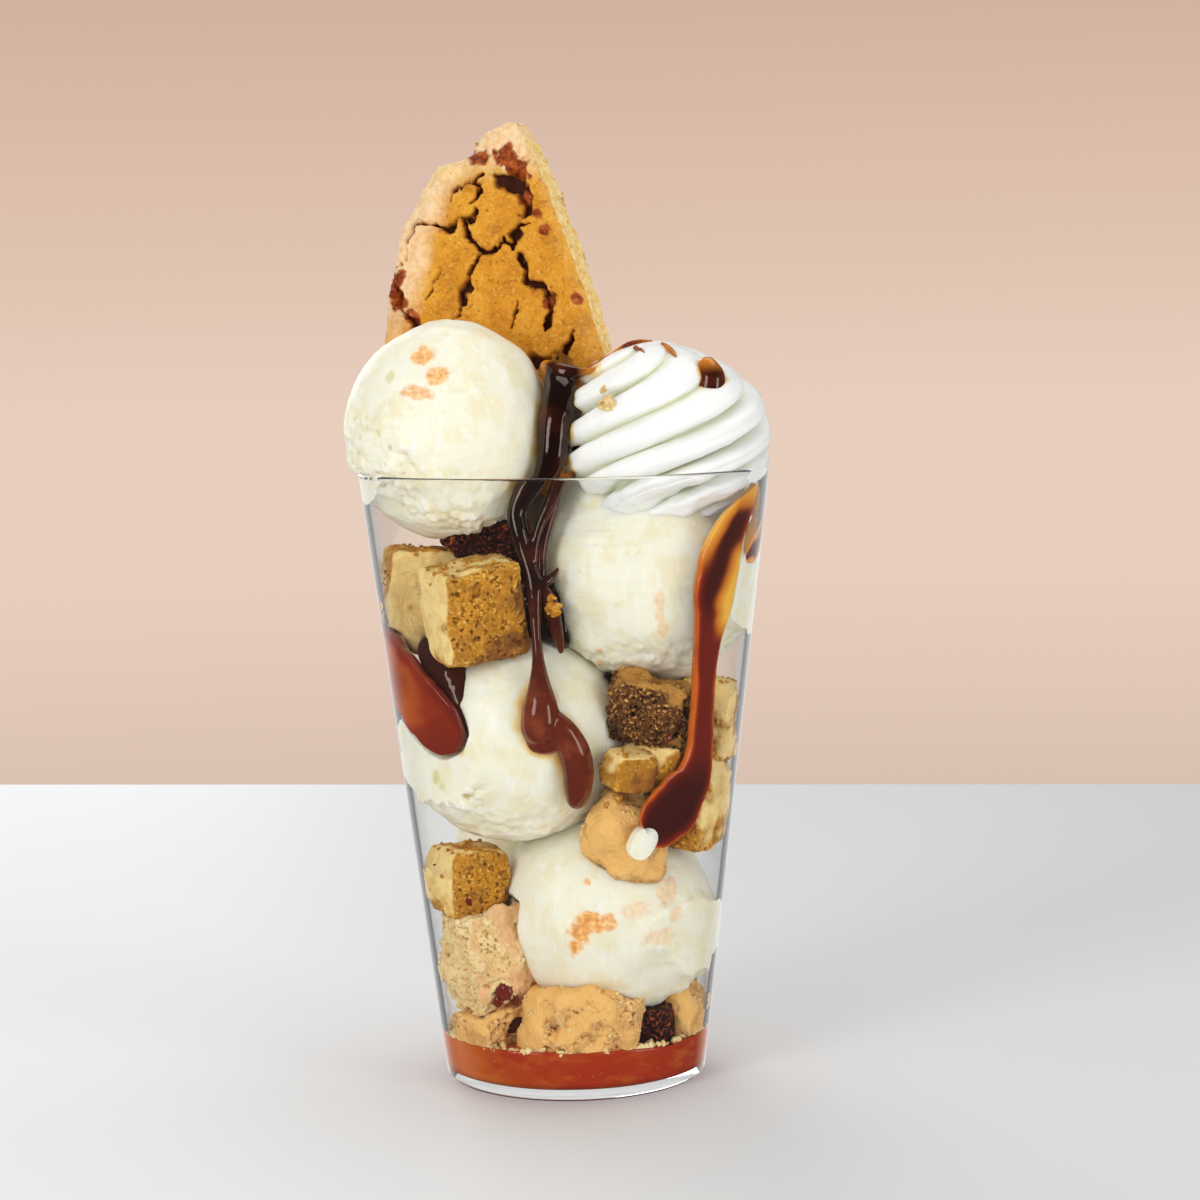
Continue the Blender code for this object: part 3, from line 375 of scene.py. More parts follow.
# painted shade inside the cookie's cracks, darkest in their middle
COOKIE_CLEFT_SHADE = (0.36, 0.12, 0.016)
COOKIE_CRACK_SHADE = (0.055, 0.012, 0.004)
COOKIE_RED = (0.40, 0.075, 0.010)
COOKIE_BURNT = (0.14, 0.020, 0.006)
COOKIE_AMBER = (0.62, 0.20, 0.04)
CHOCOLATE = (0.150, 0.022, 0.009)
CHOCOLATE_LIGHT = (0.250, 0.050, 0.018)
# painted shade of the chocolate sauce
CHOCOLATE_SHADE = (0.008, 0.0015, 0.001)
AMBER = (0.66, 0.22, 0.020)
AMBER_BRIGHT = (0.88, 0.47, 0.060)
CARAMEL_LIGHT = (0.58, 0.125, 0.013)
CARAMEL_MIDDLE = (0.27, 0.028, 0.008)
CARAMEL_CORE = (0.155, 0.014, 0.006)
CARAMEL_DARK = (0.030, 0.006, 0.004)
POOL_LIGHT = (0.62, 0.17, 0.060)
POOL_MIDDLE = (0.47, 0.090, 0.012)
POOL_RED = (0.37, 0.032, 0.008)
POOL_BUBBLE = (0.66, 0.28, 0.12)
POOL_CLOUD = (0.56, 0.15, 0.02)
GLASS_COOL = (0.985, 0.99, 0.99)
GLASS_CLEAR = (0.995, 0.997, 1.0)
WHITE = (1.0, 1.0, 1.0, 1.0)
FLOOR_WHITE = (0.77, 0.77, 0.775)
BACKDROP_TOP = (0.63, 0.435, 0.33)
BACKDROP_MIDDLE = (0.81, 0.62, 0.51)
BACKDROP_LOW = (0.68, 0.52, 0.43)

# How much denser than even a pattern lies along X, Y and Z
STREAKED = (1.6, 1.6, 0.35)
LAYERED = (0.5, 0.5, 1.8)
FLATTENED = (1.0, 1.0, 2.5)

# Camera: place, tilt down and roll in degrees, lens and sensor width
CAMERA_AT = (7.77, -650.0, 172.2)
CAMERA_TILT = 5.30
CAMERA_ROLL = 1.12
LENS = 83.4
SENSOR = 36.0

# Stage, in metres: half the floor's width, and how far back its left and right corners lie
FLOOR_HALF = 0.424
FLOOR_BACK = (0.478, 0.375)
# Lights, in metres and watts: place, size, power
LIGHTS = {
    "key": ((-0.66, -0.78, 0.52), (0.36, 0.60), 3.8),
    "fill": ((0.80, -0.58, 0.26), (0.30, 0.60), 2.7),
    "top": ((0.10, 0.20, 0.85), (0.60, 0.45), 1.6),
    "front": ((-0.25, -0.92, 0.10), (0.60, 0.50), 1.9),
    "back": ((-0.35, 0.75, 0.40), (0.50, 0.60), 2.2),
}
# What every light is turned to
AIM = (0.0, 0.0, 0.11)
DAYLIGHT = 0.53
# Strength of the world in mirroring surfaces, all round and behind the sundae
MIRRORED_DAYLIGHT = 0.10
MIRRORED_BACKDROP = 0.95
# Slopes between which the backdrop's colours run, and those colours from its foot up
BACKDROP_SPAN = (-0.17, 0.13)
BACKDROP_STOPS = ((0.0, BACKDROP_LOW), (0.30, BACKDROP_MIDDLE), (0.48, BACKDROP_MIDDLE),
                  (1.0, BACKDROP_TOP))
# How far round to the back the mirrored backdrop begins, and is full
MIRROR_EDGE = (0.60, 0.98)

RANDOMS = np.random.default_rng(2024).uniform(-1.0, 1.0, 4096)
CORNERS = np.array([(a, b, c) for a in (0, 1) for b in (0, 1) for c in (0, 1)])
AROUND = np.array([(a, b, c) for a in (-1, 0, 1) for b in (-1, 0, 1) for c in (-1, 0, 1)])


# Numbers

def step(low, high, values):
    """0 below low, 1 above high, and a smooth rise between them."""
    part = np.clip((values - low) / (high - low), 0.0, 1.0)
    return part * part * (3.0 - 2.0 * part)


def together(*columns):
    """Columns of numbers side by side."""
    return np.stack(np.broadcast_arrays(*columns), axis=1)


def lattice(cells, seed):
    """A random number between -1 and 1 for each whole-numbered cell."""
    mixed = cells[..., 0] * 73856093 ^ cells[..., 1] * 19349663 ^ cells[..., 2] * 83492791 ^ seed * 97531
    return RANDOMS[mixed % len(RANDOMS)]


def waves(places, size, seed):
    """Smooth uneven heights between -1 and 1, with their bumps about size apart."""
    scaled = places / size
    cell = np.floor(scaled).astype(np.int64)
    part = scaled - cell
    part = part * part * (3.0 - 2.0 * part)
    total = np.zeros(len(places))
    for corner in CORNERS:
        weight = np.prod(np.where(corner, part, 1.0 - part), axis=1)
        total += weight * lattice(cell + corner, seed)
    return total


def rough(places, size, seed, layers=3):
    """Waves of several sizes on top of each other."""
    total = np.zeros(len(places))
    for k in range(layers):
        total += 0.5 ** k * waves(places, size / 2.03 ** k, seed + 17 * k)
    return total


def pits(places, size, seed):
    """Distance to the nearest of many scattered points, in units of size, and that point's chance."""
    scaled = places / size
    cell = np.floor(scaled).astype(np.int64)
    nearest = np.full(len(places), 9.0)
    chance = np.zeros(len(places))
    for offset in AROUND:
        other = cell + offset
        jitter = together(*[lattice(other, seed + k) for k in range(3)])
        distance = np.linalg.norm(scaled - other - 0.5 - 0.42 * jitter, axis=1)
        closer = distance < nearest
        nearest = np.where(closer, distance, nearest)
        chance = np.where(closer, lattice(other, seed + 3), chance)
    return nearest, chance


def grains(places, size, seed):
    """Round grains, size across, with creases between them."""
    nearest, chance = pits(places, size, seed)
    return (0.45 - nearest) * (1.0 + 0.5 * chance)


def ragged(places, grain, seed):
    """The solids' own unevenness between about -1 and 1, at each place."""
    shift = Vector((seed * 7.13, seed * 3.71, seed * 5.39))
    return np.array([noise.fractal(Vector(place) * grain + shift, 0.7, 2.1, 3)
                     for place in places.tolist()])


def smooth_path(stations, steps):
    """Rows on a smooth curve through the stations."""
    rows = np.array([stations[0], *stations, stations[-1]], float)
    t = np.linspace(0.0, 1.0, steps, endpoint=False)[:, None]
    path = []
    for a, b, c, d in zip(rows, rows[1:], rows[2:], rows[3:]):
        path.append(0.5 * (2 * b + (c - a) * t + (2 * a - 5 * b + 4 * c - d) * t ** 2
                           + (3 * b - a - 3 * c + d) * t ** 3))
    return np.vstack([*path, rows[-2:-1]])


def inner_radius(height):
    """Radius of the tumbler's inside at a height."""
    return FOOT_RADIUS - WALL + (RIM_RADIUS - FOOT_RADIUS) * height / GLASS_HEIGHT


# Shapes

class Shape:
    """Places, the quads that join them, and the marks that a material reads."""

    def __init__(self, places, quads):
        self.places = places
        self.quads = quads
        self.marks = {}

    def normals(self):
        corners = self.places[self.quads]
        across = np.cross(corners[:, 2] - corners[:, 0], corners[:, 3] - corners[:, 1])
        total = np.zeros_like(self.places)
        for k in range(3):
            for corner in range(4):
                total[:, k] += np.bincount(self.quads[:, corner], across[:, k], len(self.places))
        return total / np.maximum(np.linalg.norm(total, axis=1), 1e-9)[:, None]

    def relax(self, rounds, share=0.5):
        """Even out the surface a little in each round."""
        ends = np.roll(self.quads, -1, axis=1)
        first = np.concatenate([self.quads.ravel(), ends.ravel()])
        second = np.concatenate([ends.ravel(), self.quads.ravel()])
        count = np.bincount(first, minlength=len(self.places))[:, None]
        for _ in range(rounds):
            total = [np.bincount(first, self.places[second, k], len(self.places)) for k in range(3)]
            self.places = self.places + share * (np.stack(total, axis=1) / count - self.places)

    def push(self, heights):
        """Move the surface outwards by a height at each place."""
        self.places = self.places + self.normals() * heights[:, None]

    def proud(self, rounds, depth):
        """How far each place stands out of its surroundings, from 0 in a hollow to 1 on a crest."""
        soft = Shape(self.places, self.quads)
        soft.relax(rounds)
        out = ((self.places - soft.places) * self.normals()).sum(axis=1)
        return np.clip(0.5 + 0.5 * out / depth, 0.0, 1.0)

    def mark(self, name, values):
        self.marks[name] = np.clip(np.broadcast_to(values, len(self.places)), 0.0, 1.0)

    def stain(self, sauces, depth, uneven):
        """Mark where sauce has soaked in: sauces are (drops, how far from them a stain reaches)."""
        share = np.zeros(len(self.places))
        for drops, width in sauces:
            share = np.maximum(share, step(width, depth, near(self.places, drops) + uneven))
        self.mark("stain", share)

    def narrow(self, factor):
        """Bring each place nearer to the tumbler's axis, or further out, by its own factor."""
        self.places = self.places * together(factor, factor, 1.0)

    def press(self):
        """Flatten the surface against the tumbler's wall, just into the glass."""
        x, y, z = self.places.T
        out = np.hypot(x, y)
        room = inner_radius(z) - out
        inside = (z > FLOOR) & (z < GLASS_HEIGHT - 1.0)
        share = np.where(inside, step(1.5, 0.5, room), 0.0)
        factor = 1.0 + share * (room + INTO_WALL) / np.maximum(out, 1.0)
        self.narrow(factor)

    def keep_in(self):
        """Move what would stand outside the tumbler's wall back to it."""
        x, y, z = self.places.T
        out = np.hypot(x, y)
        limit = np.where(z < GLASS_HEIGHT, inner_radius(z) + INTO_WALL, 1e9)
        factor = np.minimum(1.0, limit / np.maximum(out, 1e-6))
        self.narrow(factor)

    def sink(self):
        """Keep what stands in the caramel behind the caramel's own face on the wall."""
        x, y, z = self.places.T
        limit = np.where(z < CARAMEL_LEVEL + 0.4, inner_radius(z) - SUNK, 1e9)
        factor = np.minimum(1.0, limit / np.maximum(np.hypot(x, y), 1e-6))
        self.narrow(factor)

    def hold(self):
        """Ease what comes near the outside of the solids' box back into it."""
        for side, corner in ((-1.0, solid_box[0]), (1.0, solid_box[1])):
            past = side * (self.places - np.array(corner) / MM) + BOX_EASE
            past[:, 2] = np.where(side > 0.0, past[:, 2], 0.0)
            eased = np.where(past > 0.0, past - BOX_EASE * np.tanh(past / BOX_EASE), 0.0)
            self.places = self.places - side * eased

    def make(self, name, finish, slot, *nodes):
        """A mesh of this shape, which rides on the sundae and stands for its nodes."""
        self.hold()
        mesh = bpy.data.meshes.new(name)
        mesh.from_pydata((self.places * MM).tolist(), [], self.quads.tolist())
        for label, values in self.marks.items():
            layer = mesh.attributes.new(label, "FLOAT", "POINT")
            layer.data.foreach_set("value", values.astype(np.float32))
        mesh.shade_smooth()
        mesh.materials.append(finish)
        item = bpy.data.objects.new(name, mesh)
        bpy.context.scene.collection.objects.link(item)
        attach(item, "root")
        if nodes:
            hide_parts(*nodes)
        return item


def block(cells):
    """Places from -1 to 1 on the faces of a box cut into cells, and its quads."""
    places = []
    quads = []
    start = 0
    for axis in range(3):
        u, v = (axis + 1) % 3, (axis + 2) % 3
        for side in (-1.0, 1.0):
            grid = np.full((cells[u] + 1, cells[v] + 1, 3), side)
            grid[..., u] = np.linspace(-1.0, 1.0, cells[u] + 1)[:, None]
            grid[..., v] = np.linspace(-1.0, 1.0, cells[v] + 1)[None, :]
            index = start + np.arange(grid[..., 0].size).reshape(grid.shape[:2])
            ring = [index[:-1, :-1], index[1:, :-1], index[1:, 1:], index[:-1, 1:]]
            if side < 0.0:
                ring.reverse()
            quads.append(np.stack(ring, axis=-1).reshape(-1, 4))
            places.append(grid.reshape(-1, 3))
            start += index.size
    places = np.concatenate(places)
    _, first, number = np.unique(np.round(places * 1e5).astype(np.int64), axis=0, return_index=True,
                                 return_inverse=True)
    return places[first], number.reshape(-1)[np.concatenate(quads)]


def ball(cells):
    """Directions spread evenly over a ball, and the quads that join them."""
    places, quads = block((cells, cells, cells))
    ways = np.tan(places * math.pi / 4.0)
    return ways / np.linalg.norm(ways, axis=1)[:, None], quads


def solid_points(name):
    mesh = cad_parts[name].data
    points = np.zeros(len(mesh.vertices) * 3)
    mesh.vertices.foreach_get("co", points)
    return points.reshape(-1, 3) / MM, [tuple(face.vertices) for face in mesh.polygons]


def middle(name):
    """The middle of a solid's volume."""
    points, faces = solid_points(name)
    corners = points[np.array([face[:3] for face in faces])]
    volume = np.einsum("ij,ij->i", corners[:, 0], np.cross(corners[:, 1], corners[:, 2]))
    return (corners.sum(axis=1) * volume[:, None]).sum(axis=0) / volume.sum() / 4.0


def reach(name, centre, ways):
    """How far the solid reaches from its middle in each direction."""
    points, faces = solid_points(name)
    tree = BVHTree.FromPolygons(points.tolist(), faces)
    start = Vector(centre)
    hits = [tree.ray_cast(start, Vector(way))[3] for way in ways.tolist()]
    return np.array([0.0 if hit is None else hit for hit in hits])


def remeshed(mesh, size):
    """One even skin round all that a mesh holds."""
    item = bpy.data.objects.new("draft", mesh)
    bpy.context.scene.collection.objects.link(item)
    modifier = item.modifiers.new("Skin", "REMESH")
    modifier.mode = "VOXEL"
    modifier.voxel_size = size * MM
    evaluated = item.evaluated_get(bpy.context.evaluated_depsgraph_get())
    skin = bpy.data.meshes.new_from_object(evaluated)
    bpy.data.objects.remove(item, do_unlink=True)
    places = np.zeros(len(skin.vertices) * 3)
    skin.vertices.foreach_get("co", places)
    quads = [tuple(face.vertices) if len(face.vertices) == 4 else (*face.vertices, face.vertices[-1])
             for face in skin.polygons]
    bpy.data.meshes.remove(skin)
    return Shape(places.reshape(-1, 3) / MM, np.array(quads))


def beads(drops, size=SAUCE_VOXEL):
    """Drops (x, y, z, radius) that run together into one skin."""
    template = bmesh.new()
    bmesh.ops.create_icosphere(template, subdivisions=3, radius=1.0)
    corners = np.array([vert.co for vert in template.verts])
    faces = np.array([[vert.index for vert in face.verts] for face in template.faces])
    template.free()
    places = [corners * drop[3] + np.array(drop[:3]) for drop in drops]
    joined = [faces + k * len(corners) for k in range(len(drops))]
    mesh = bpy.data.meshes.new("beads")
    mesh.from_pydata((np.concatenate(places) * MM).tolist(), [], np.concatenate(joined).tolist())
    return remeshed(mesh, size)


def along(stations):
    """Drops close together along a smooth curve through the stations."""
    path = smooth_path(stations, 24)
    drops = [path[0]]
    for row in path[1:]:
        if np.linalg.norm(row[:3] - drops[-1][:3]) > BEAD_STEP:
            drops.append(row)
    return drops


def strands(name):
    """The drops of all strands of a falling sauce."""
    return [drop for stations in FALLING_RUNS[name] for drop in along(stations)]


def near(places, drops):
    """Distance from each place to the surface of the nearest drop."""
    nearest = np.full(len(places), 1e9)
    for x, y, z, radius in drops:
        distance = np.linalg.norm(places - (x, y, z), axis=1) - radius
        nearest = np.minimum(nearest, distance)
    return nearest


def spot_share(shape, centre, spots, seed):
    """1 on the spots of the front, and 0 beside them, with an uneven edge."""
    share = np.zeros(len(shape.places))
    front = shape.places[:, 1] < centre[1]
    uneven = 0.45 * rough(shape.places, 2.2, seed, 3)
    for x, height, radius, wide, strength in spots:
        away = np.hypot((shape.places[:, 0] - x) / wide, shape.places[:, 2] - height) / radius
        share = np.maximum(share, np.where(front, strength * step(1.25, 0.75, away + uneven), 0.0))
    return share


# Materials

class Finish:
    """A node material, put together from a few kinds of step."""

    def __init__(self, name, **constants):
        self.material = bpy.data.materials.new(name)
        self.material.use_nodes = True
        self.tree = self.material.node_tree
        self.shader = self.tree.nodes["Principled BSDF"]
        self.where = self.tree.nodes.new("ShaderNodeTexCoord").outputs["Object"]
        for socket, value in constants.items():
            self.shader.inputs[socket.replace("_", " ")].default_value = value

    def put(self, socket, value):
        """Link a value into a socket, or set it there."""
        if isinstance(value, bpy.types.NodeSocket):
            self.tree.links.new(value, socket)
        elif isinstance(value, tuple) and len(value) == 3:
            socket.default_value = (*value, 1.0)
        else:
            socket.default_value = value

    def mark(self, name):
        node = self.tree.nodes.new("ShaderNodeAttribute")
        node.attribute_name = name
        return node.outputs["Fac"]

    def noise(self, size, detail=4.0, stretch=None):
        """Uneven values about one half, with their bumps about size apart."""
        node = self.tree.nodes.new("ShaderNodeTexNoise")
        node.inputs["Scale"].default_value = 1.0 / (size * MM)
        node.inputs["Detail"].default_value = detail
        node.inputs["Roughness"].default_value = 0.6
        where = self.where
        if stretch:
            mapping = self.tree.nodes.new("ShaderNodeMapping")
            mapping.inputs["Scale"].default_value = stretch
            self.put(mapping.inputs["Vector"], where)
            where = mapping.outputs[0]
        self.put(node.inputs["Vector"], where)
        return node.outputs["Fac"]

    def spread(self, value, low, high):
        """0 below low, 1 above high."""
        node = self.tree.nodes.new("ShaderNodeMapRange")
        node.interpolation_type = "SMOOTHSTEP"
        self.put(node.inputs["Value"], value)
        node.inputs["From Min"].default_value = low
        node.inputs["From Max"].default_value = high
        return node.outputs["Result"]

    def sum(self, kind, first, second):
        node = self.tree.nodes.new("ShaderNodeMath")
        node.operation = kind
        self.put(node.inputs[0], first)
        self.put(node.inputs[1], second)
        return node.outputs[0]

    def patches(self, size, detail, low, high, stretch=None):
        """Patches about size apart, from 0 below low to 1 above high."""
        return self.spread(self.noise(size, detail, stretch), low, high)

    def marked(self, name, low, high):
        return self.spread(self.mark(name), low, high)

    def blend(self, share, first, second, strength=None):
        """The first colour where share is 0, and the second, at its strength, where share is 1."""
        if strength:
            share = self.sum("MULTIPLY", share, strength)
        node = self.tree.nodes.new("ShaderNodeMix")
        node.data_type = "RGBA"
        self.put(node.inputs["Factor"], share)
        self.put(node.inputs[6], first)
        self.put(node.inputs[7], second)
        return node.outputs[2]

    def ramp(self, value, *stops):
        """A colour for each value: stops are (value, colour)."""
        node = self.tree.nodes.new("ShaderNodeValToRGB")
        ramp = node.color_ramp
        while len(ramp.elements) < len(stops):
            ramp.elements.new(1.0)
        for element, (position, colour) in zip(ramp.elements, stops):
            element.position = position
            element.color = (*colour, 1.0)
        self.put(node.inputs["Fac"], value)
        return node.outputs["Color"]

    def bump(self, height, depth, strength=1.0):
        """A fine relief, depth millimetres high, on top of any that is already there."""
        node = self.tree.nodes.new("ShaderNodeBump")
        node.inputs["Distance"].default_value = depth * MM
        node.inputs["Strength"].default_value = strength
        self.put(node.inputs["Height"], height)
        linked = self.shader.inputs["Normal"].links
        if linked:
            self.put(node.inputs["Normal"], linked[0].from_socket)
        self.put(self.shader.inputs["Normal"], node.outputs["Normal"])

    def colour(self, value):
        self.put(self.shader.inputs["Base Color"], value)

    def wet(self, name, start, dry, smooth):
        """Dry where the mark is low, and smooth where it's 1."""
        shine = self.ramp(self.mark(name), (start, (dry, dry, dry)), (1.0, (smooth, smooth, smooth)))
        self.put(self.shader.inputs["Roughness"], shine)


def stained(finish, colour, faint):
    """Sauce that has soaked in, faint at the stain's edge and dark in its middle."""
    stain = finish.ramp(finish.mark("stain"), (0.10, faint), (0.50, STAIN_WARM), (0.78, STAIN),
                        (1.0, STAIN_DEEP))
    return finish.blend(finish.marked("stain", 0.0, 0.60), colour, stain)


def ice_cream_finish():
    finish = Finish("vanilla ice cream", Roughness=0.42, Subsurface_Weight=0.50, Subsurface_Scale=0.004,
                    Subsurface_Radius=(1.0, 0.78, 0.42), Specular_IOR_Level=0.4)
    colour = finish.blend(finish.patches(8.0, 5.0, 0.44, 0.64), IVORY, IVORY_DEEP)
    colour = finish.blend(finish.patches(3.0, 5.0, 0.52, 0.66, STREAKED), colour, IVORY_STREAK_AND_CREST_HIGHLIGHT, 0.55)
    colour = finish.blend(finish.patches(2.4, 6.0, 0.60, 0.72), colour, GREENISH, 0.30)
    # painted highlight on the crests and painted shade in the hollows of the ice cream
    colour = finish.blend(finish.marked("proud", 0.60, 0.95), colour, IVORY_STREAK_AND_CREST_HIGHLIGHT, 0.8)
    colour = finish.blend(finish.marked("proud", 0.40, 0.08), colour, IVORY_HOLLOW_SHADE, 0.7)
    colour = finish.blend(finish.mark("green"), colour, GREENISH)
    bit = finish.ramp(finish.noise(1.3), (0.36, TOFFEE_DARK), (0.50, TOFFEE), (0.66, TOFFEE_LIGHT))
    colour = finish.blend(finish.mark("toffee"), colour, bit)
    finish.colour(stained(finish, colour, IVORY_STAINED))
    finish.bump(finish.noise(0.9, 5.0), 0.12, 0.8)
    finish.bump(finish.noise(3.0, 4.0, LAYERED), 0.2, 0.6)
    return finish.material


def cream_finish():
    finish = Finish("whipped cream", Roughness=0.38, Subsurface_Weight=0.40, Subsurface_Scale=0.004,
                    Subsurface_Radius=(1.0, 0.9, 0.7), Specular_IOR_Level=0.4)
    colour = finish.blend(finish.patches(9.0, 3.0, 0.40, 0.65), WHIPPED, WHIPPED_SHADE)
    # painted shade in the grooves between the ridges
    colour = finish.blend(finish.marked("groove", 0.20, 0.95), colour, WHIPPED_GROOVE_SHADE)
    finish.colour(stained(finish, colour, WHIPPED_STAINED))
    finish.bump(finish.noise(1.6, 3.0), 0.06, 0.5)
    return finish.material


def crumb_finish(name, hollow, body, crest, crust, soaked):
    """Cake or biscuit: painted shade in the pores and hollows, a golden body, painted highlight on the
    crests, a crust on one side, and soaked parts.
    """
    finish = Finish(name, Roughness=0.85, Specular_IOR_Level=0.25, Subsurface_Weight=0.05,
                    Subsurface_Scale=0.001, Subsurface_Radius=(1.0, 0.5, 0.2))
    fine = finish.sum("MULTIPLY", finish.sum("SUBTRACT", finish.noise(0.8, 5.0), 0.5), 1.5)
    proud = finish.sum("ADD", finish.mark("proud"), fine)
    # painted shade in the hollows and painted highlight on the crests
    crumb = finish.ramp(proud, (0.10, hollow), (0.42, body), (0.62, body), (0.92, crest))
    crumb = finish.blend(finish.patches(5.0, 3.0, 0.42, 0.62), crumb, hollow, 0.35)
    golden = tuple(0.7 * c + 0.3 * b for c, b in zip(crust, body))
    skin = finish.blend(finish.patches(3.5, 6.0, 0.42, 0.62), crust, golden)
    skin = finish.blend(finish.spread(fine, 0.18, 0.32), skin, tuple(0.5 * c for c in crust))
    skin = finish.blend(finish.marked("proud", 0.35, 0.05), skin, body)
    colour = finish.blend(finish.mark("crust"), crumb, skin)
    finish.colour(finish.blend(finish.mark("soaked"), colour, soaked))
    finish.wet("soaked", 0.3, 0.85, 0.35)
    finish.bump(finish.noise(0.6, 5.0), 0.45, 1.0)
    return finish.material


def cookie_finish():
    finish = Finish("baked cookie", Roughness=0.80, Specular_IOR_Level=0.25, Subsurface_Weight=0.04,
                    Subsurface_Scale=0.001, Subsurface_Radius=(1.0, 0.5, 0.2))
    top = finish.ramp(finish.noise(7.0, 8.0),
                      (0.36, COOKIE_DEEP), (0.50, COOKIE_GOLD), (0.66, COOKIE_BRIGHT))
    top = finish.blend(finish.patches(0.8, 5.0, 0.52, 0.66), top, COOKIE_SUGAR, 0.4)
    top = finish.blend(finish.patches(1.0, 5.0, 0.46, 0.32), top, COOKIE_PORE, 0.8)
    rim = finish.ramp(finish.noise(1.6, 6.0),
                      (0.36, COOKIE_TAN), (0.55, COOKIE_PALE), (0.72, COOKIE_CREAM))
    side = finish.ramp(finish.noise(1.5, 6.0),
                       (0.36, COOKIE_CRUMB), (0.50, COOKIE_SIDE), (0.64, COOKIE_STRAW))
    toffee = finish.ramp(finish.noise(1.6),
                         (0.38, COOKIE_BURNT), (0.55, COOKIE_RED), (0.75, COOKIE_AMBER))
    colour = finish.blend(finish.mark("rim"), top, rim)
    # painted shade in the hollows
    colour = finish.blend(finish.marked("proud", 0.30, 0.0), colour, COOKIE_HOLLOW_SHADE)
    colour = finish.blend(finish.mark("side"), colour, side)
    # painted shade inside the cracks, darkest in their middle
    colour = finish.blend(finish.marked("crack", 0.15, 0.6), colour, COOKIE_CLEFT_SHADE)
    colour = finish.blend(finish.marked("crack", 0.50, 0.9), colour, COOKIE_CRACK_SHADE)
    finish.colour(finish.blend(finish.mark("toffee"), colour, toffee))
    finish.wet("toffee", 0.4, 0.78, 0.22)
    finish.bump(finish.noise(0.6, 6.0), 0.35, 0.9)
    return finish.material


def chocolate_finish():
    finish = Finish("chocolate sauce", Roughness=0.09, Specular_IOR_Level=0.42, Coat_Weight=0.2,
                    Coat_Roughness=0.03, Specular_Tint=(1.0, 0.78, 0.64, 1.0))
    colour = finish.blend(finish.patches(6.0, 3.0, 0.44, 0.68), CHOCOLATE, CHOCOLATE_LIGHT)
    # the dark mark paints shade where the sauce lies deep between the pieces and in the gaps, and varies
    # at random on the cream
    colour = finish.blend(finish.mark("dark"), colour, CHOCOLATE_SHADE)
    finish.colour(finish.blend(finish.mark("amber"), colour, AMBER))
    return finish.material


def caramel_finish():
    finish = Finish("caramel sauce", Roughness=0.12, Specular_IOR_Level=0.4, Coat_Weight=0.3,
                    Coat_Roughness=0.05)
    colour = finish.ramp(finish.mark("core"), (0.0, CARAMEL_LIGHT), (0.45, CARAMEL_MIDDLE),
                         (0.9, CARAMEL_CORE))
    colour = finish.blend(finish.mark("dark"), colour, CARAMEL_DARK)
    amber = finish.ramp(finish.mark("amber"), (0.15, CARAMEL_LIGHT), (0.50, AMBER), (0.90, AMBER_BRIGHT))
    finish.colour(finish.blend(finish.marked("amber", 0.0, 0.45), colour, amber))
    finish.bump(finish.noise(5.0, 2.0), 0.2, 0.3)
    return finish.material


def pool_finish():
    finish = Finish("caramel pool", Roughness=0.15, Specular_IOR_Level=0.4)
    colour = finish.ramp(finish.mark("core"), (0.0, POOL_LIGHT), (0.45, POOL_MIDDLE), (0.8, POOL_RED))
    colour = finish.blend(finish.patches(0.8, 2.0, 0.70, 0.76), colour, POOL_BUBBLE)
    colour = finish.blend(finish.patches(7.0, 3.0, 0.48, 0.70, FLATTENED), colour, POOL_CLOUD, 0.35)
    finish.colour(colour)
    return finish.material


def glass_finish():
    finish = Finish("clear glass", Roughness=0.0, IOR=1.38, Transmission_Weight=1.0)
    finish.colour(finish.blend(finish.patches(60.0, 1.0, 0.3, 0.7), GLASS_COOL, GLASS_CLEAR))
    return finish.material


def make_finishes():
    finishes = {kind: crumb_finish(name, *colours) for kind, (name, *colours) in CRUMBS.items()}
    makers = {"ice_cream": ice_cream_finish, "cream": cream_finish, "cookie": cookie_finish,
              "chocolate": chocolate_finish, "caramel": caramel_finish, "pool": pool_finish,
              "glass": glass_finish}
    for kind, maker in makers.items():
        finishes[kind] = maker()
    return finishes


# Pieces

def make_glass(finish):
    """The tumbler, turned in fine steps, with round edges at its rim and its foot."""
    taper = (RIM_RADIUS - FOOT_RADIUS) / GLASS_HEIGHT
    bend = np.linspace(0.0, math.pi / 2.0, 5)[1:-1]
    corner = inner_radius(FLOOR) - CORNER
    profile = [(0.0, FLOOR), (corner, FLOOR)]
    profile += [(corner + CORNER * math.sin(a), FLOOR + CORNER * (1.0 - math.cos(a))) for a in bend]
    profile += [(inner_radius(h), h) for h in np.linspace(FLOOR + CORNER, GLASS_HEIGHT - ROUNDING, 24)]
    half = WALL / 2.0
    middle_radius = RIM_RADIUS - half
    profile += [(middle_radius - half * math.cos(a), GLASS_HEIGHT - ROUNDING + ROUNDING * math.sin(a))
                for a in np.linspace(0.0, math.pi, 9)[1:-1]]
    profile += [(FOOT_RADIUS + taper * h, h) for h in np.linspace(GLASS_HEIGHT - ROUNDING, CORNER, 24)]
    profile += [(FOOT_RADIUS - CORNER * (1.0 - math.cos(a)), CORNER * (1.0 - math.sin(a))) for a in bend]
    profile += [(FOOT_RADIUS - CORNER, 0.0), (0.0, 0.0)]
    return turned(profile).make("tumbler", finish, "glass", "glass")


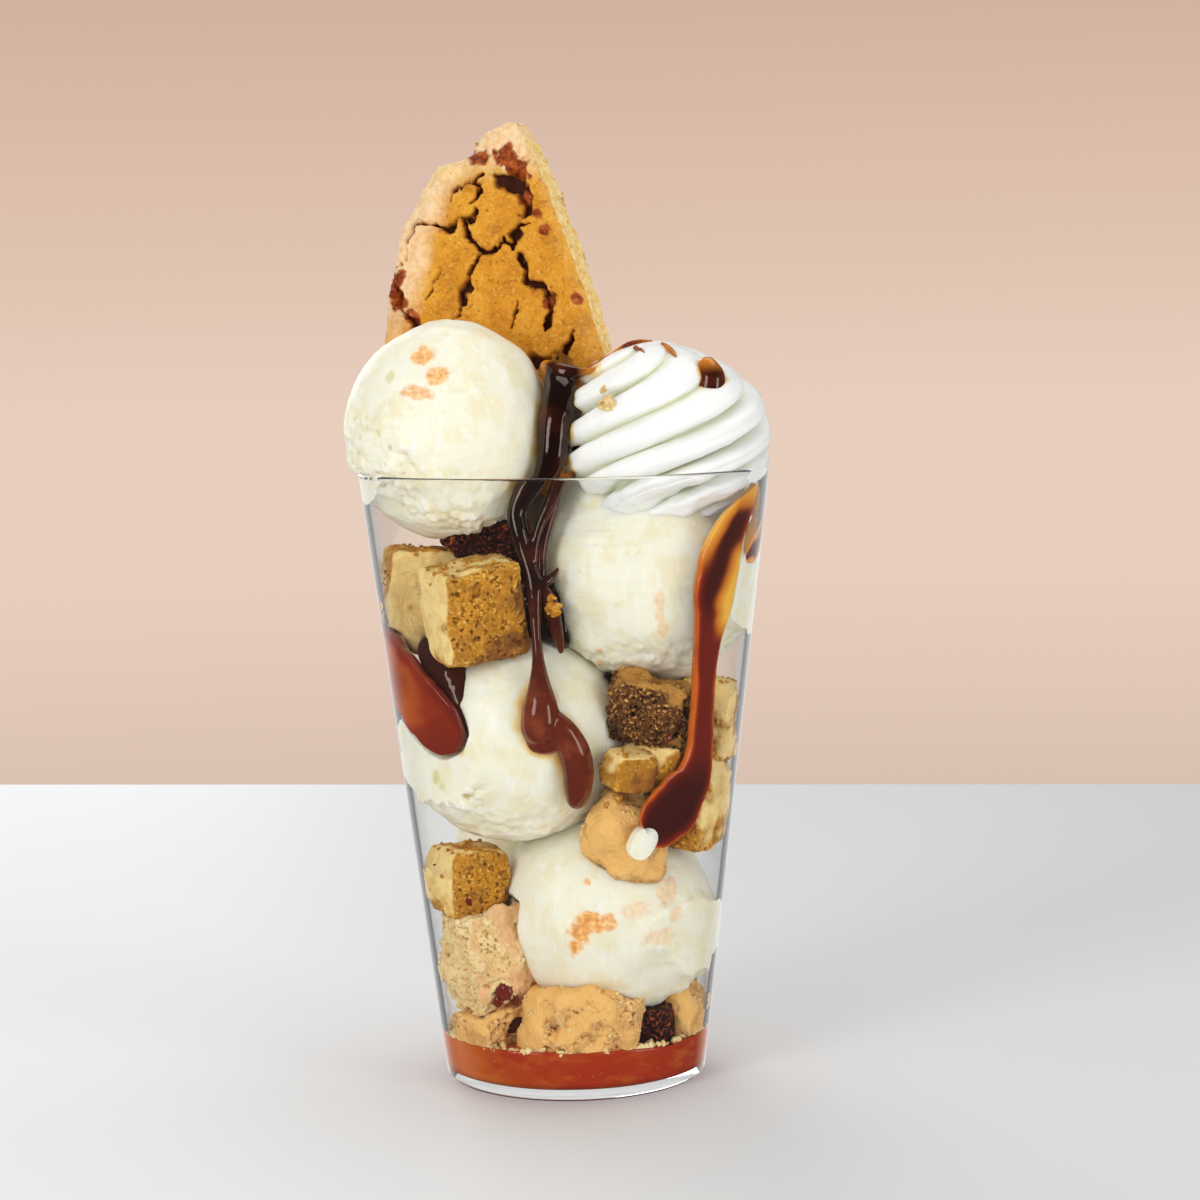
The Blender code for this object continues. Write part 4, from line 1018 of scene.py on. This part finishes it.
def turned(profile):
    """A closed turned shape from a profile that starts and ends on the axis."""
    radii, heights = np.array(profile[1:-1]).T
    angles = np.arange(TURN_STEPS) * math.tau / TURN_STEPS
    rings = np.stack([radii[:, None] * np.cos(angles), radii[:, None] * np.sin(angles),
                      np.repeat(heights[:, None], TURN_STEPS, axis=1)], axis=-1).reshape(-1, 3)
    index = np.arange(len(rings)).reshape(len(radii), TURN_STEPS)
    after = np.roll(index, -1, axis=1)
    quads = np.stack([index[:-1], index[1:], after[1:], after[:-1]], axis=-1).reshape(-1, 4)
    places = np.vstack([rings, (0.0, 0.0, profile[0][1]), (0.0, 0.0, profile[-1][1])])
    first, last = len(rings), len(rings) + 1
    pairs = np.arange(0, TURN_STEPS, 2)
    start = np.stack([np.full(len(pairs), first), index[0][pairs], after[0][pairs],
                      index[0][(pairs + 2) % TURN_STEPS]], axis=1)
    finish = np.stack([np.full(len(pairs), last), index[-1][(pairs + 2) % TURN_STEPS], after[-1][pairs],
                       index[-1][pairs]], axis=1)
    return Shape(places, np.concatenate([quads, start, finish]))


def make_pool(finish):
    """The caramel on the tumbler's floor, from just inside the glass up to a slightly uneven top."""
    base = FLOOR - INTO_WALL
    edge = [(inner_radius(h) + INTO_WALL, h) for h in np.linspace(base + 1.0, CARAMEL_LEVEL + 0.5, 12)]
    rim = edge[-1][0]
    top = [(r, CARAMEL_LEVEL + 0.5 * math.exp((r - rim) / 1.2)) for r in np.linspace(rim, 2.0, 40)]
    foot = [(0.0, base), (inner_radius(base) - 1.0, base)]
    shape = turned([*foot, *edge, *top[1:], (0.0, CARAMEL_LEVEL)])
    shape.quads = shape.quads[:, ::-1]
    x, _, z = shape.places.T
    on_top = step(CARAMEL_LEVEL - 1.5, CARAMEL_LEVEL, z)
    shape.places = shape.places + together(0.0, 0.0, on_top * 0.55 * rough(shape.places, 11.0, 61))
    # Painted light: the pool is lighter at its left and right sides, which the camera sees at a slant
    # through the wall, and a little lighter towards the left
    red = 0.48 + 0.5 * rough(shape.places * (1.0, 1.0, 2.0), 15.0, 63, 3) + 0.014 * x
    shape.mark("core", red * step(31.0, 24.0, np.abs(x)) + 0.08)
    return shape.make("caramel_pool_fine", finish, "caramel", "caramel_pool")


def scoop_shape(name, sauces):
    centre, half_sizes, crag, cut_side, cells, seed = SCOOPS[name]
    ways, quads = ball(cells)
    side = np.array(cut_side) / np.linalg.norm(cut_side)
    skirt = np.exp(-((ways @ side - SKIRT_AT) / SKIRT_WIDTH) ** 2)
    swell = 1.0 + 0.025 * ragged(ways, 1.6, seed) + 0.02 * skirt
    full = ways * half_sizes * swell[:, None]
    length = np.linalg.norm(full, axis=1)
    ways = full / length[:, None]
    solid = reach(name, centre, ways)
    length = np.where(solid < length - CUT_DEPTH, np.minimum(length, solid + CLOSER), length)
    shape = Shape(np.array(centre) + ways * length[:, None], quads)
    shape.relax(8)
    places = shape.places
    edge = np.clip(skirt * (1.0 + 0.8 * rough(places, 7.0, seed + 4, 2)), 0.0, 1.4)
    torn = crag * edge * (rough(places, 5.0, seed, 3) + 0.9 * grains(places, 2.6, seed + 5)
                          + 0.5 * grains(places, 1.4, seed + 6))
    height, size = SCRAPES
    scraped = height * rough(places * (0.30, 0.30, 1.5), size, seed + 9, 3)
    scraped = scraped * step(-0.5, 0.6, rough(ways, 0.9, seed, 2))
    height, size = DENTS
    dents = height * rough(places, size, seed + 11, 2)
    depth, size = HOLES
    nearest, chance = pits(places, size, seed + 13)
    holes = depth * step(0.24, 0.08, nearest) * (chance > 0.62) * (0.35 + skirt)
    shape.push(torn + scraped + dents - holes)
    shape.press()
    shape.relax(1, 0.3)
    shape.keep_in()
    # how far each place stands out, from which the finish paints highlight on crests and shade in
    # hollows
    shape.mark("proud", shape.proud(7, 0.30))
    shape.stain(sauces, -2.2, 1.1 * rough(shape.places, 4.0, seed + 21, 3))
    shape.mark("toffee", spot_share(shape, centre, TOFFEE_SPOTS.get(name, ()), seed + 31))
    shape.mark("green", 0.7 * spot_share(shape, centre, GREEN_SPOTS.get(name, ()), seed + 33))
    return shape


def make_scoops(finishes, sauces):
    for name in SCOOPS:
        scoop_shape(name, sauces).make(name + "_fine", finishes["ice_cream"], "ice_cream", name)


def lump_shape(name):
    finish, cells, crumb, pore, crust_way, soak_way, seed = LUMPS[name]
    centre = middle(name)
    ways, quads = ball(cells)
    radius = reach(name, centre, ways) + WORN_GROWTH * WORN[finish]
    shape = Shape(centre + ways * radius[:, None], quads)
    shape.relax(WORN[finish])
    coarse, fine, lumpy = GRAINS[finish]
    shape.push(lumpy * rough(shape.places, 7.0, seed + 1, 2))
    flat = shape.normals()
    places = shape.places
    grain = 0.9 * grains(places, coarse, seed) + 0.5 * grains(places, fine, seed + 7)
    nearest, chance = pits(places, 1.5, seed + 11)
    holes = pore * step(0.50, 0.15, nearest) * step(0.1, 0.7, chance)
    holes = holes + 1.2 * pore * step(0.15, 0.75, rough(places, 1.5, seed + 15, 3))
    crust = np.zeros(len(places))
    if crust_way:
        facing = flat @ (np.array(crust_way) / np.linalg.norm(crust_way))
        crust = step(*CRUST_FROM, facing + 0.30 * rough(places, 4.0, seed + 3, 3))
    open_share = 1.0 - 0.75 * crust
    shape.push(0.6 * crumb * rough(places, 3.4, seed + 5, 4) + (crumb * grain - holes) * open_share)
    shape.keep_in()
    shape.sink()
    # how far each place stands out, from which the finish paints shade in hollows and highlight on
    # crests
    shape.mark("proud", shape.proud(5, 0.20))
    shape.mark("crust", 0.92 * crust)
    soaked = np.zeros(len(places))
    if soak_way:
        across = (places - centre) / np.abs(places - centre).max()
        uneven = 0.45 * rough(places, 5.0, seed + 9, 3)
        soaked = step(*SOAKED_FROM, across @ np.array(soak_way) + uneven)
    shape.mark("soaked", 0.85 * soaked)
    return shape


def make_lumps(finishes):
    """The cubes and lumps, which come back as shapes so that crumbs can be strewn on them."""
    shapes = {}
    for name, row in LUMPS.items():
        shapes[name] = lump_shape(name)
        shapes[name].make(name + "_fine", finishes[row[0]], SLOTS[row[0]], name)
    return shapes


def cream_shape():
    ways, quads = ball(CREAM_CELLS)
    height = np.clip(ways[:, 2], -1.0, 1.0)
    ring = np.sqrt(1.0 - height ** 2)
    share = (height + 1.0) / 2.0
    angle = np.arctan2(ways[:, 1], ways[:, 0])
    phase = angle * CREAM_FLUTES / 2.0
    ridge = np.abs(np.sin(phase + 0.38 * np.sin(2.0 * phase))) ** 0.85
    depth = CREAM_GROOVE * np.minimum(1.0, 2.2 * ring) * (0.85 + 0.3 * np.sin(2.0 * angle + 4.0 * share))
    radius = CREAM_RADIUS * (1.0 - depth * (1.0 - ridge))
    ring = np.where(height < 0.0, ring ** 0.8, ring ** 1.12)
    wave = 1.0 + 0.03 * ragged(together(ring, share, angle), 1.3, 9)
    turn = angle + CREAM_TWIST * (share + CREAM_STEEPER * share * (1.0 - share))
    lean = 2.2 * np.maximum(0.0, height) ** 3
    out = radius * ring * wave
    places = together(out * np.cos(turn) - lean, out * np.sin(turn), CREAM_HALF_HEIGHT * height)
    shape = Shape(places + CREAM_AT, quads)
    # the grooves, where the finish paints shade
    shape.mark("groove", (1.0 - ridge) * step(0.15, 0.5, np.sqrt(1.0 - height ** 2)))
    shape.relax(2)
    skirt = step(-0.2, -0.75, height)
    shape.push(0.25 * rough(shape.places, 7.0, 71, 3) + 0.7 * skirt * rough(shape.places, 4.5, 73, 4))
    return shape


def make_cream(finishes, sauces):
    shape = cream_shape()
    shape.keep_in()
    shape.stain(sauces, -1.6, 0.9 * rough(shape.places, 4.0, 75, 3))
    shape.make("cream_swirl_fine", finishes["cream"], "cream", "cream_swirl")
    return shape


def distance_to_line(x, height, line):
    """Distance in the cookie's face from each place to a bent line."""
    nearest = np.full(len(x), 1e9)
    points = together(x, height)
    for first, second in zip(line, line[1:]):
        start = np.array(first)
        run = np.array(second) - start
        part = np.clip(((points - start) @ run) / (run @ run), 0.0, 1.0)
        nearest = np.minimum(nearest, np.linalg.norm(points - start - part[:, None] * run, axis=1))
    return nearest


def crack_share(x, height):
    """1 in the middle of a crack, and 0 beside it; cracks have jagged edges and an uneven width."""
    flat = together(x, height, 0.0)
    jagged_x = x + 0.80 * rough(flat, 2.4, 81, 4)
    jagged_height = height + 0.80 * rough(flat, 2.4, 83, 4)
    uneven = np.clip(0.85 + 0.75 * rough(flat, 3.0, 85, 2), 0.3, 1.8)
    share = np.zeros(len(x))
    for width, *line in CRACKS:
        away = distance_to_line(jagged_x, jagged_height, line) / (width * uneven)
        share = np.maximum(share, step(1.35, 0.25, away))
    return share


def cookie_shape():
    """A wedge of cookie that stands up, with a cracked and domed front and a flatter back."""
    places, quads = block(COOKIE_CELLS)
    across, through, up = places.T
    heights, lefts, rights = np.array(COOKIE_OUTLINE).T
    hidden_height, hidden_share = COOKIE_HIDDEN
    height = np.interp((up + 1.0) / 2.0, (0.0, hidden_share, 1.0),
                       (heights[0], hidden_height, heights[-1]))
    torn = 0.55 * rough(together(through * 3.0, height, 0.0), 4.0, 91, 4)
    left = np.interp(height, heights, lefts) - torn * step(206.0, 214.0, height)
    right = np.interp(height, heights, rights)
    x = left + (right - left) * (across + 1.0) / 2.0
    inward = np.clip((x - left) / COOKIE_RIM_WIDTH, 0.0, 1.0)
    thick = COOKIE_HALF_THICKNESS * (COOKIE_RIM_SHARE + (1.0 - COOKIE_RIM_SHARE) * np.sqrt(inward))
    thick = thick + COOKIE_LUMP * ragged(together(x, 0.0, height), 0.12, 21)
    back = thick * 0.5 + COOKIE_HALF_THICKNESS * 0.35
    thick = np.where(through > 0.0, thick + (back - thick) * through, thick)
    x = x + 0.9 * across * (1.0 - through ** 2)
    outward = thick * through
    y = (COOKIE_DEPTH + outward - COOKIE_TURN * (x - COOKIE_MIDDLE[0])
         + COOKIE_LEAN * (height - COOKIE_MIDDLE[1]))
    shape = Shape(together(x + COOKIE_TURN * outward, y, height), quads)
    shape.face = together(x, height, through, across, x - left)
    return shape


def make_cookie(finishes):
    shape = cookie_shape()
    x, height, through, across, from_left = shape.face.T
    front = step(-0.80, -0.98, through)
    shape.relax(3)
    crack = crack_share(x, height) * front
    flat = together(x, height, through * 4.0)
    side = step(0.80, 0.98, across) * step(1.02, 0.93, np.abs(through)) * step(222.0, 219.0, height)
    torn = step(*COOKIE_TORN_FROM, height) * step(0.985, 0.90, through)
    soft = 0.45 * rough(flat, 9.0, 95, 3)
    grain = 0.14 * rough(flat, 1.8, 97, 3) + 0.10 * grains(shape.places, 1.2, 98)
    crumb = 0.5 * rough(shape.places, 3.0, 99, 3) + 0.6 * grains(shape.places, 1.9, 94)
    crumb = crumb * np.maximum(side, 0.9 * torn)
    plates = step(PLATE_REACH, 0.8, crack_distance(x, height)) * (1.0 - crack)
    plates = PLATE_HEIGHT * front * plates
    shape.push(soft + grain + crumb + plates - CRACK_DEPTH * crack)
    shape.mark("crack", crack)
    shape.mark("proud", shape.proud(5, 0.25))
    edge = step(10.5, 3.0, from_left + 2.4 * rough(flat, 8.0, 101, 3))
    edge = edge * (0.5 + 0.5 * step(176.0, 184.0, height))
    tip = step(*COOKIE_TIP_FROM, height + 1.5 * rough(flat, 4.0, 103, 2))
    shape.mark("rim", np.maximum(0.85 * edge, 0.9 * tip))
    shape.mark("side", np.maximum(side, 0.5 * torn * (1.0 - tip)))
    toffee = np.zeros(len(x))
    uneven = 0.65 * rough(flat, 2.6, 105, 4)
    for spot_x, spot_height, radius in COOKIE_TOFFEE:
        away = np.hypot(x - spot_x, height - spot_height) / radius
        toffee = np.maximum(toffee, step(1.0, 0.72, away + uneven))
    shape.mark("toffee", toffee * step(0.2, -0.2, through))
    shape.make("cookie_wedge_fine", finishes["cookie"], "cookie", "cookie_wedge")
    return shape


def crack_distance(x, height):
    """Distance to the nearest wide crack, for the plates that rise beside it."""
    nearest = np.full(len(x), 1e9)
    for width, *line in CRACKS:
        if width > 0.5:
            nearest = np.minimum(nearest, distance_to_line(x, height, line))
    return nearest


def run_shape(name):
    """Sauce on the inside of the wall: just into the glass outside, and domed inwards."""
    path = smooth_path(WALL_RUNS[name], RUN_STEPS)
    rows = len(path) - 1
    places, quads = block((RUN_CELLS[0], RUN_CELLS[1], rows))
    across, through, lengthwise = places.T
    row = (lengthwise + 1.0) / 2.0 * rows
    count = np.arange(rows + 1)
    degrees, height, half, thickness = [np.interp(row, count, column) for column in path.T]
    ahead = np.clip(row + 1.0, 0, rows)
    behind = np.clip(row - 1.0, 0, rows)
    turn = np.radians(np.interp(ahead, count, path[:, 0]) - np.interp(behind, count, path[:, 0]))
    rise = np.interp(ahead, count, path[:, 1]) - np.interp(behind, count, path[:, 1])
    run = together(turn * inner_radius(height), rise)
    run = run / np.maximum(np.linalg.norm(run, axis=1), 1e-9)[:, None]
    from_end = np.minimum(row, rows - row) / RUN_STEPS
    half = half * np.sqrt(np.clip(from_end * 6.0, 0.02, 1.0))
    edge = together(degrees, height, np.sign(across) * 9.0)
    half = half * (1.0 + 0.07 * rough(edge, 5.0, 111, 3))
    offset = together(-run[:, 1], run[:, 0]) * (half * across)[:, None]
    height = height + offset[:, 1]
    out = inner_radius(height) + INTO_WALL
    angle = np.radians(degrees) + offset[:, 0] / out
    dome = 0.25 + (thickness - 0.25) * np.sqrt(np.clip(1.0 - (0.97 * across) ** 2, 0.0, 1.0))
    out = out - (dome + INTO_WALL) * (1.0 - through) / 2.0
    shape = Shape(together(out * np.cos(angle), out * np.sin(angle), height), quads)
    shape.face = together(across, half, degrees, height)
    return shape


def run_marks(name, face):
    """How thick a run is to look through, from 0 at a thin edge to 1, and where it's dark or amber."""
    across, half, degrees, height = face.T
    uneven = 0.35 * rough(together(degrees * 0.6, height, 0.0), 8.0, 121, 3)
    inward = (1.0 - np.abs(across)) * half
    core = step(-0.3, 1.9, inward + 0.8 * uneven)
    dark = np.zeros_like(core)
    amber = np.zeros_like(core)
    if name == "sauce_wall_right":
        bright_side = step(-0.15, 1.05, across + 0.6 * uneven) * step(103.0, 111.0, height)
        bright_top = 0.8 * step(-0.30, -1.05, across + 0.4 * uneven) * step(118.0, 130.0, height)
        amber = np.maximum(bright_side * step(129.0, 122.0, height), bright_top)
        amber = np.maximum(amber, 0.75 * step(132.0, 138.0, height))
        dark = 0.85 * step(82.0, 70.0, height) * step(0.3, 3.2, inward)
        dark = np.maximum(dark, 0.75 * step(106.0, 116.0, height) * step(0.8, 3.4, inward + uneven))
    elif name == "sauce_wall_left":
        core = 0.16 + 0.6 * step(-158.0, -132.0, degrees) + 0.5 * uneven
        core = core + 0.25 * step(0.5, 0.9, across)
    else:
        amber = 0.7 * step(0.45, 0.95, np.abs(across) + uneven)
        dark = 0.5 * step(0.8, 2.4, inward)
    return core, dark, amber


def wall_drops(name):
    """Drops that follow a run on the wall, narrower than the run."""
    drops = []
    for degrees, height, half, _ in smooth_path(WALL_RUNS[name], 5):
        out = inner_radius(height)
        angle = math.radians(degrees)
        drops.append((out * math.cos(angle), out * math.sin(angle), height, STAIN_SHARE * half))
    return drops


def make_wall_runs(finishes):
    for name in WALL_RUNS:
        shape = run_shape(name)
        shape.relax(2)
        for label, values in zip(("core", "dark", "amber"), run_marks(name, shape.face)):
            shape.mark(label, values)
        shape.make(name + "_fine", finishes["caramel"], "caramel", name)


def sauce_marks(shape):
    """Painted shade, darker higher up where the sauce lies deep between the pieces, and amber where it's
    thin.
    """
    height = shape.places[:, 2]
    uneven = 0.25 * rough(shape.places, 6.0, 133, 2)
    dark = np.interp(height, DARK_HEIGHTS, DARK_SHARES) + uneven * step(92.0, 100.0, height)
    uneven = 0.8 * rough(shape.places, 3.0, 131, 2)
    amber = 0.8 * step(1.8, -0.8, near(shape.places, AMBER_PLACES) + uneven)
    return dark, amber


def make_falls(finishes):
    for name in FALLING_RUNS:
        shape = beads(strands(name))
        shape.relax(10)
        shape.keep_in()
        make_sauce(shape, finishes, name + "_fine", *sauce_marks(shape), name)


def make_sauce(shape, finishes, name, dark, amber, *nodes):
    """Chocolate sauce with its dark and its amber parts marked, each from 0 to 1."""
    shape.mark("dark", dark)
    shape.mark("amber", amber)
    shape.make(name, finishes["chocolate"], "chocolate", *nodes)


def make_pockets(finishes):
    """The dark sauce between the pieces, near-black so that it also paints the shade in the gaps: the
    two solids, made fine, and the thin films beside them.
    """
    for name in ("sauce_pocket_centre", "sauce_pocket_right"):
        centre = middle(name)
        ways, quads = ball(44)
        shape = Shape(centre + ways * (reach(name, centre, ways) + CLOSER)[:, None], quads)
        shape.relax(6)
        shape.push(0.6 * rough(shape.places, 5.0, 141, 3))
        shape.keep_in()
        # near-black all over: painted shade in the gaps
        make_sauce(shape, finishes, name + "_fine", 1.0, 0.0, name)
    for name, drops in POCKETS.items():
        shape = beads(along(drops), 0.5)
        shape.relax(8)
        shape.push(0.4 * rough(shape.places, 5.0, 143, 3))
        shape.keep_in()
        # mostly near-black: painted shade in the gaps
        make_sauce(shape, finishes, name, 0.8, 0.0)


def make_sauce_on_cream(finishes, cream):
    """The patch of sauce in the cream's groove, and thin streaks that lie on its surface."""
    shape = beads(along(CREAM_SAUCE))
    shape.relax(10)
    dark = 0.35 + 0.5 * rough(shape.places, 5.0, 151, 2)
    amber = step(164.5, 168.5, shape.places[:, 2])
    make_sauce(shape, finishes, "cream_sauce_patch", dark, amber)
    tree = BVHTree.FromPolygons(cream.places.tolist(), cream.quads.tolist())
    drops = []
    for stations in THIN_SAUCE:
        for x, y, z, radius in along(stations):
            place, normal, _, _ = tree.find_nearest(Vector((x, y, z)))
            drops.append((*(place + normal * 0.15 * radius), radius))
    shape = beads(drops, 0.26)
    shape.relax(6)
    amber = 0.45 + 0.6 * rough(shape.places, 3.0, 153, 2)
    make_sauce(shape, finishes, "cream_sauce_streaks", 0.0, amber)


def make_drop(finishes):
    shape = beads(along(DROP))
    shape.relax(24)
    shape.press()
    shape.keep_in()
    for label in ("stain", "toffee", "green"):
        shape.mark(label, 0.0)
    shape.mark("proud", 0.5)
    shape.make("melted_drop_fine", finishes["ice_cream"], "ice_cream", "melted_drop")


def nugget_shape(spots, seed):
    """Small uneven crumbs, one at each spot (x, y, z, radius)."""
    ways, quads = ball(4)
    draw = np.random.default_rng(seed)
    places = []
    joined = []
    for k, (x, y, z, radius) in enumerate(spots):
        squash = draw.uniform(0.65, 1.15, 3)
        bumps = 1.0 + 0.38 * rough(ways + 9.0 * k, 0.7, seed, 2)
        places.append(ways * squash * bumps[:, None] * radius + (x, y, z))
        joined.append(quads + k * len(ways))
    return Shape(np.concatenate(places), np.concatenate(joined))


def strewn(shape, count, size, draw, least_up=0.25):
    """Spots for crumbs on the upper sides of a shape."""
    normals = shape.normals()
    open_to = np.flatnonzero(normals[:, 2] > least_up)
    chosen = draw.choice(open_to, min(count, len(open_to)), replace=False)
    sizes = size * draw.uniform(0.4, 1.0, len(chosen))
    spots = shape.places[chosen] + normals[chosen] * (0.25 * sizes)[:, None]
    return [(*spot, radius) for spot, radius in zip(spots, sizes)]


def heaped(spots, draw):
    """Each spot as a cluster of smaller crumbs."""
    crumbs = []
    for x, y, z, radius in spots:
        for _ in range(max(4, round(9 * radius))):
            way = draw.normal(size=3)
            way = way / np.linalg.norm(way) * radius * 0.55 * draw.uniform(0.2, 1.0)
            crumbs.append((x + way[0], y + way[1], z + way[2], radius * draw.uniform(0.28, 0.5)))
    return crumbs


def make_crumbs(finishes, lumps, cookie):
    """Loose crumbs on the cake, the biscuit and the cookie, and the small heaps on cream and sauce."""
    draw = np.random.default_rng(7)
    gold = heaped(CRUMB_HEAPS["crumb_gold"], draw)
    pale = heaped(CRUMB_HEAPS["crumb_orange"], draw)
    for name, shape in lumps.items():
        kind = LUMPS[name][0]
        if kind != "soaked":
            heap = pale if kind in ("biscuit", "crumb_pale") else gold
            heap.extend(strewn(shape, *LUMP_CRUMBS, draw))
    torn = np.flatnonzero((cookie.marks["side"] > 0.4) & (cookie.places[:, 2] > 160.0))
    for index in draw.choice(torn, COOKIE_CRUMBS, replace=False):
        pale.append((*cookie.places[index], draw.uniform(0.25, 0.6)))
    count, inset, size = POOL_CRUMBS
    for k in range(count):
        radius = size * draw.uniform(0.3, 1.0) ** 1.4
        angle = (k + draw.uniform(0.0, 1.0)) * math.tau / count
        out = inner_radius(CARAMEL_LEVEL) - 0.3 * radius - inset * draw.uniform(0.0, 1.0) ** 2
        pale.append((out * math.cos(angle), out * math.sin(angle), CARAMEL_LEVEL + 0.5 * radius, radius))
    bits = nugget_shape(TOFFEE_BITS, 13)
    bits.keep_in()
    for label, value in (("core", 0.75), ("dark", 0.25), ("amber", 0.0)):
        bits.mark(label, value)
    bits.make("toffee_bits", finishes["caramel"], "caramel")
    top = solid_box[1].z / MM
    for name, spots, finish in (("crumbs_gold", gold, "sponge"), ("crumbs_pale", pale, "crumb_pale")):
        inside = [spot for spot in spots if spot[2] + 1.3 * spot[3] < top]
        shape = nugget_shape(inside, 11)
        shape.keep_in()
        shape.mark("proud", 0.55 + 0.35 * rough(shape.places, 1.2, 161, 2))
        shape.mark("crust", 0.0)
        shape.mark("soaked", 0.0)
        shape.make(name, finishes[finish], SLOTS[finish])


# Stage

def make_floor():
    mesh = bpy.data.meshes.new("floor")
    edge = FLOOR_HALF
    left_back, right_back = FLOOR_BACK
    corners = [(-edge, -edge, 0.0), (edge, -edge, 0.0), (edge, right_back, 0.0), (-edge, left_back, 0.0)]
    mesh.from_pydata(corners, [], [(0, 1, 2, 3)])
    finish = Finish("plain floor", Roughness=0.55, Specular_IOR_Level=0.3)
    finish.colour(FLOOR_WHITE)
    mesh.materials.append(finish.material)
    item = bpy.data.objects.new("floor", mesh)
    bpy.context.scene.collection.objects.link(item)
    item.visible_glossy = False


def make_lights():
    for name, (place, size, power) in LIGHTS.items():
        lamp = bpy.data.lights.new(name, "AREA")
        lamp.shape = "RECTANGLE"
        lamp.size, lamp.size_y = size
        lamp.energy = power
        item = bpy.data.objects.new(name, lamp)
        item.location = place
        item.rotation_mode = "QUATERNION"
        item.rotation_quaternion = (Vector(AIM) - Vector(place)).to_track_quat("-Z", "Y")
        item.visible_glossy = name != "front"
        bpy.context.scene.collection.objects.link(item)


def make_world():
    """An even light all round, and a plain warm backdrop behind the sundae.

    Mirroring surfaces see a dimmer world, which is bright again behind the sundae for sharp mirrors,
    so that the tumbler's edges are light.
    """
    world = bpy.data.worlds.new("studio")
    bpy.context.scene.world = world
    world.use_nodes = True
    nodes, links = world.node_tree.nodes, world.node_tree.links
    nodes.clear()

    def add(kind, operation=None, **values):
        node = nodes.new("ShaderNode" + kind)
        if operation:
            node.operation = operation
        for socket, value in values.items():
            node.inputs[socket.replace("_", " ")].default_value = value
        return node

    light = add("Background", Color=WHITE, Strength=DAYLIGHT)
    mirrored = add("Background", Color=WHITE)
    shown = add("Background", Strength=1.0)
    where = add("TexCoord")
    split = add("SeparateXYZ")
    path = add("LightPath")
    ramp = add("ValToRGB")
    low, high = BACKDROP_SPAN
    stretch = add("MapRange", From_Min=low, From_Max=high)
    low, high = MIRROR_EDGE
    behind = add("MapRange", From_Min=low, From_Max=high, To_Min=MIRRORED_DAYLIGHT,
                 To_Max=MIRRORED_BACKDROP)
    behind.interpolation_type = "SMOOTHSTEP"
    either = add("Math", "MAXIMUM")
    sharp = add("Math", "MULTIPLY")
    strength = add("Math", "MAXIMUM")
    strength.inputs[1].default_value = MIRRORED_DAYLIGHT
    lit = add("MixShader")
    mix = add("MixShader")
    out = add("OutputWorld")
    ramp.color_ramp.elements.new(0.3)
    ramp.color_ramp.elements.new(0.5)
    for element, (position, colour) in zip(ramp.color_ramp.elements, BACKDROP_STOPS):
        element.position = position
        element.color = (*colour, 1.0)
    joins = (
        (path.outputs["Is Camera Ray"], either.inputs[0]),
        (path.outputs["Is Transmission Ray"], either.inputs[1]),
        (where.outputs["Generated"], split.inputs[0]),
        (split.outputs["Z"], stretch.inputs["Value"]),
        (split.outputs["Y"], behind.inputs["Value"]),
        (behind.outputs["Result"], sharp.inputs[0]),
        (path.outputs["Is Singular Ray"], sharp.inputs[1]),
        (sharp.outputs[0], strength.inputs[0]),
        (strength.outputs[0], mirrored.inputs["Strength"]),
        (stretch.outputs["Result"], ramp.inputs["Fac"]),
        (ramp.outputs["Color"], shown.inputs["Color"]),
        (either.outputs[0], mix.inputs["Fac"]),
        (path.outputs["Is Glossy Ray"], lit.inputs["Fac"]),
        (light.outputs[0], lit.inputs[1]),
        (mirrored.outputs[0], lit.inputs[2]),
        (lit.outputs[0], mix.inputs[1]),
        (shown.outputs[0], mix.inputs[2]),
        (mix.outputs[0], out.inputs["Surface"]),
    )
    for source, target in joins:
        links.new(source, target)


def make_camera():
    data = bpy.data.cameras.new("camera")
    data.lens = LENS
    data.sensor_width = SENSOR
    data.clip_start = 0.01
    camera = bpy.data.objects.new("camera", data)
    bpy.context.scene.collection.objects.link(camera)
    place = Matrix.Translation(Vector(CAMERA_AT) * MM)
    tilt = Matrix.Rotation(math.radians(90.0 - CAMERA_TILT), 4, "X")
    roll = Matrix.Rotation(math.radians(-CAMERA_ROLL), 4, "Z")
    camera.matrix_world = place @ tilt @ roll
    bpy.context.scene.camera = camera


def main():
    finishes = make_finishes()
    make_camera()
    front = strands("sauce_fall_front")[::3]
    side = strands("sauce_fall_side")[::3]
    left = wall_drops("sauce_wall_left")
    right = wall_drops("sauce_wall_right")
    sauces = ((front, 3.0), (side, 2.0), (left, 1.2), (right, 1.0))
    make_scoops(finishes, sauces)
    lumps = make_lumps(finishes)
    on_cream = ((front, 2.0), (side, 1.2), (along(CREAM_SAUCE), 1.6))
    cream = make_cream(finishes, on_cream)
    cookie = make_cookie(finishes)
    make_wall_runs(finishes)
    make_falls(finishes)
    make_pockets(finishes)
    make_sauce_on_cream(finishes, cream)
    make_drop(finishes)
    make_crumbs(finishes, lumps, cookie)
    make_pool(finishes["pool"])
    glass = make_glass(finishes["glass"])
    glass.visible_shadow = False
    glass.visible_diffuse = False
    glass.visible_glossy = False
    make_floor()
    make_lights()
    make_world()
    bpy.context.scene.view_settings.view_transform = "Standard"


main()
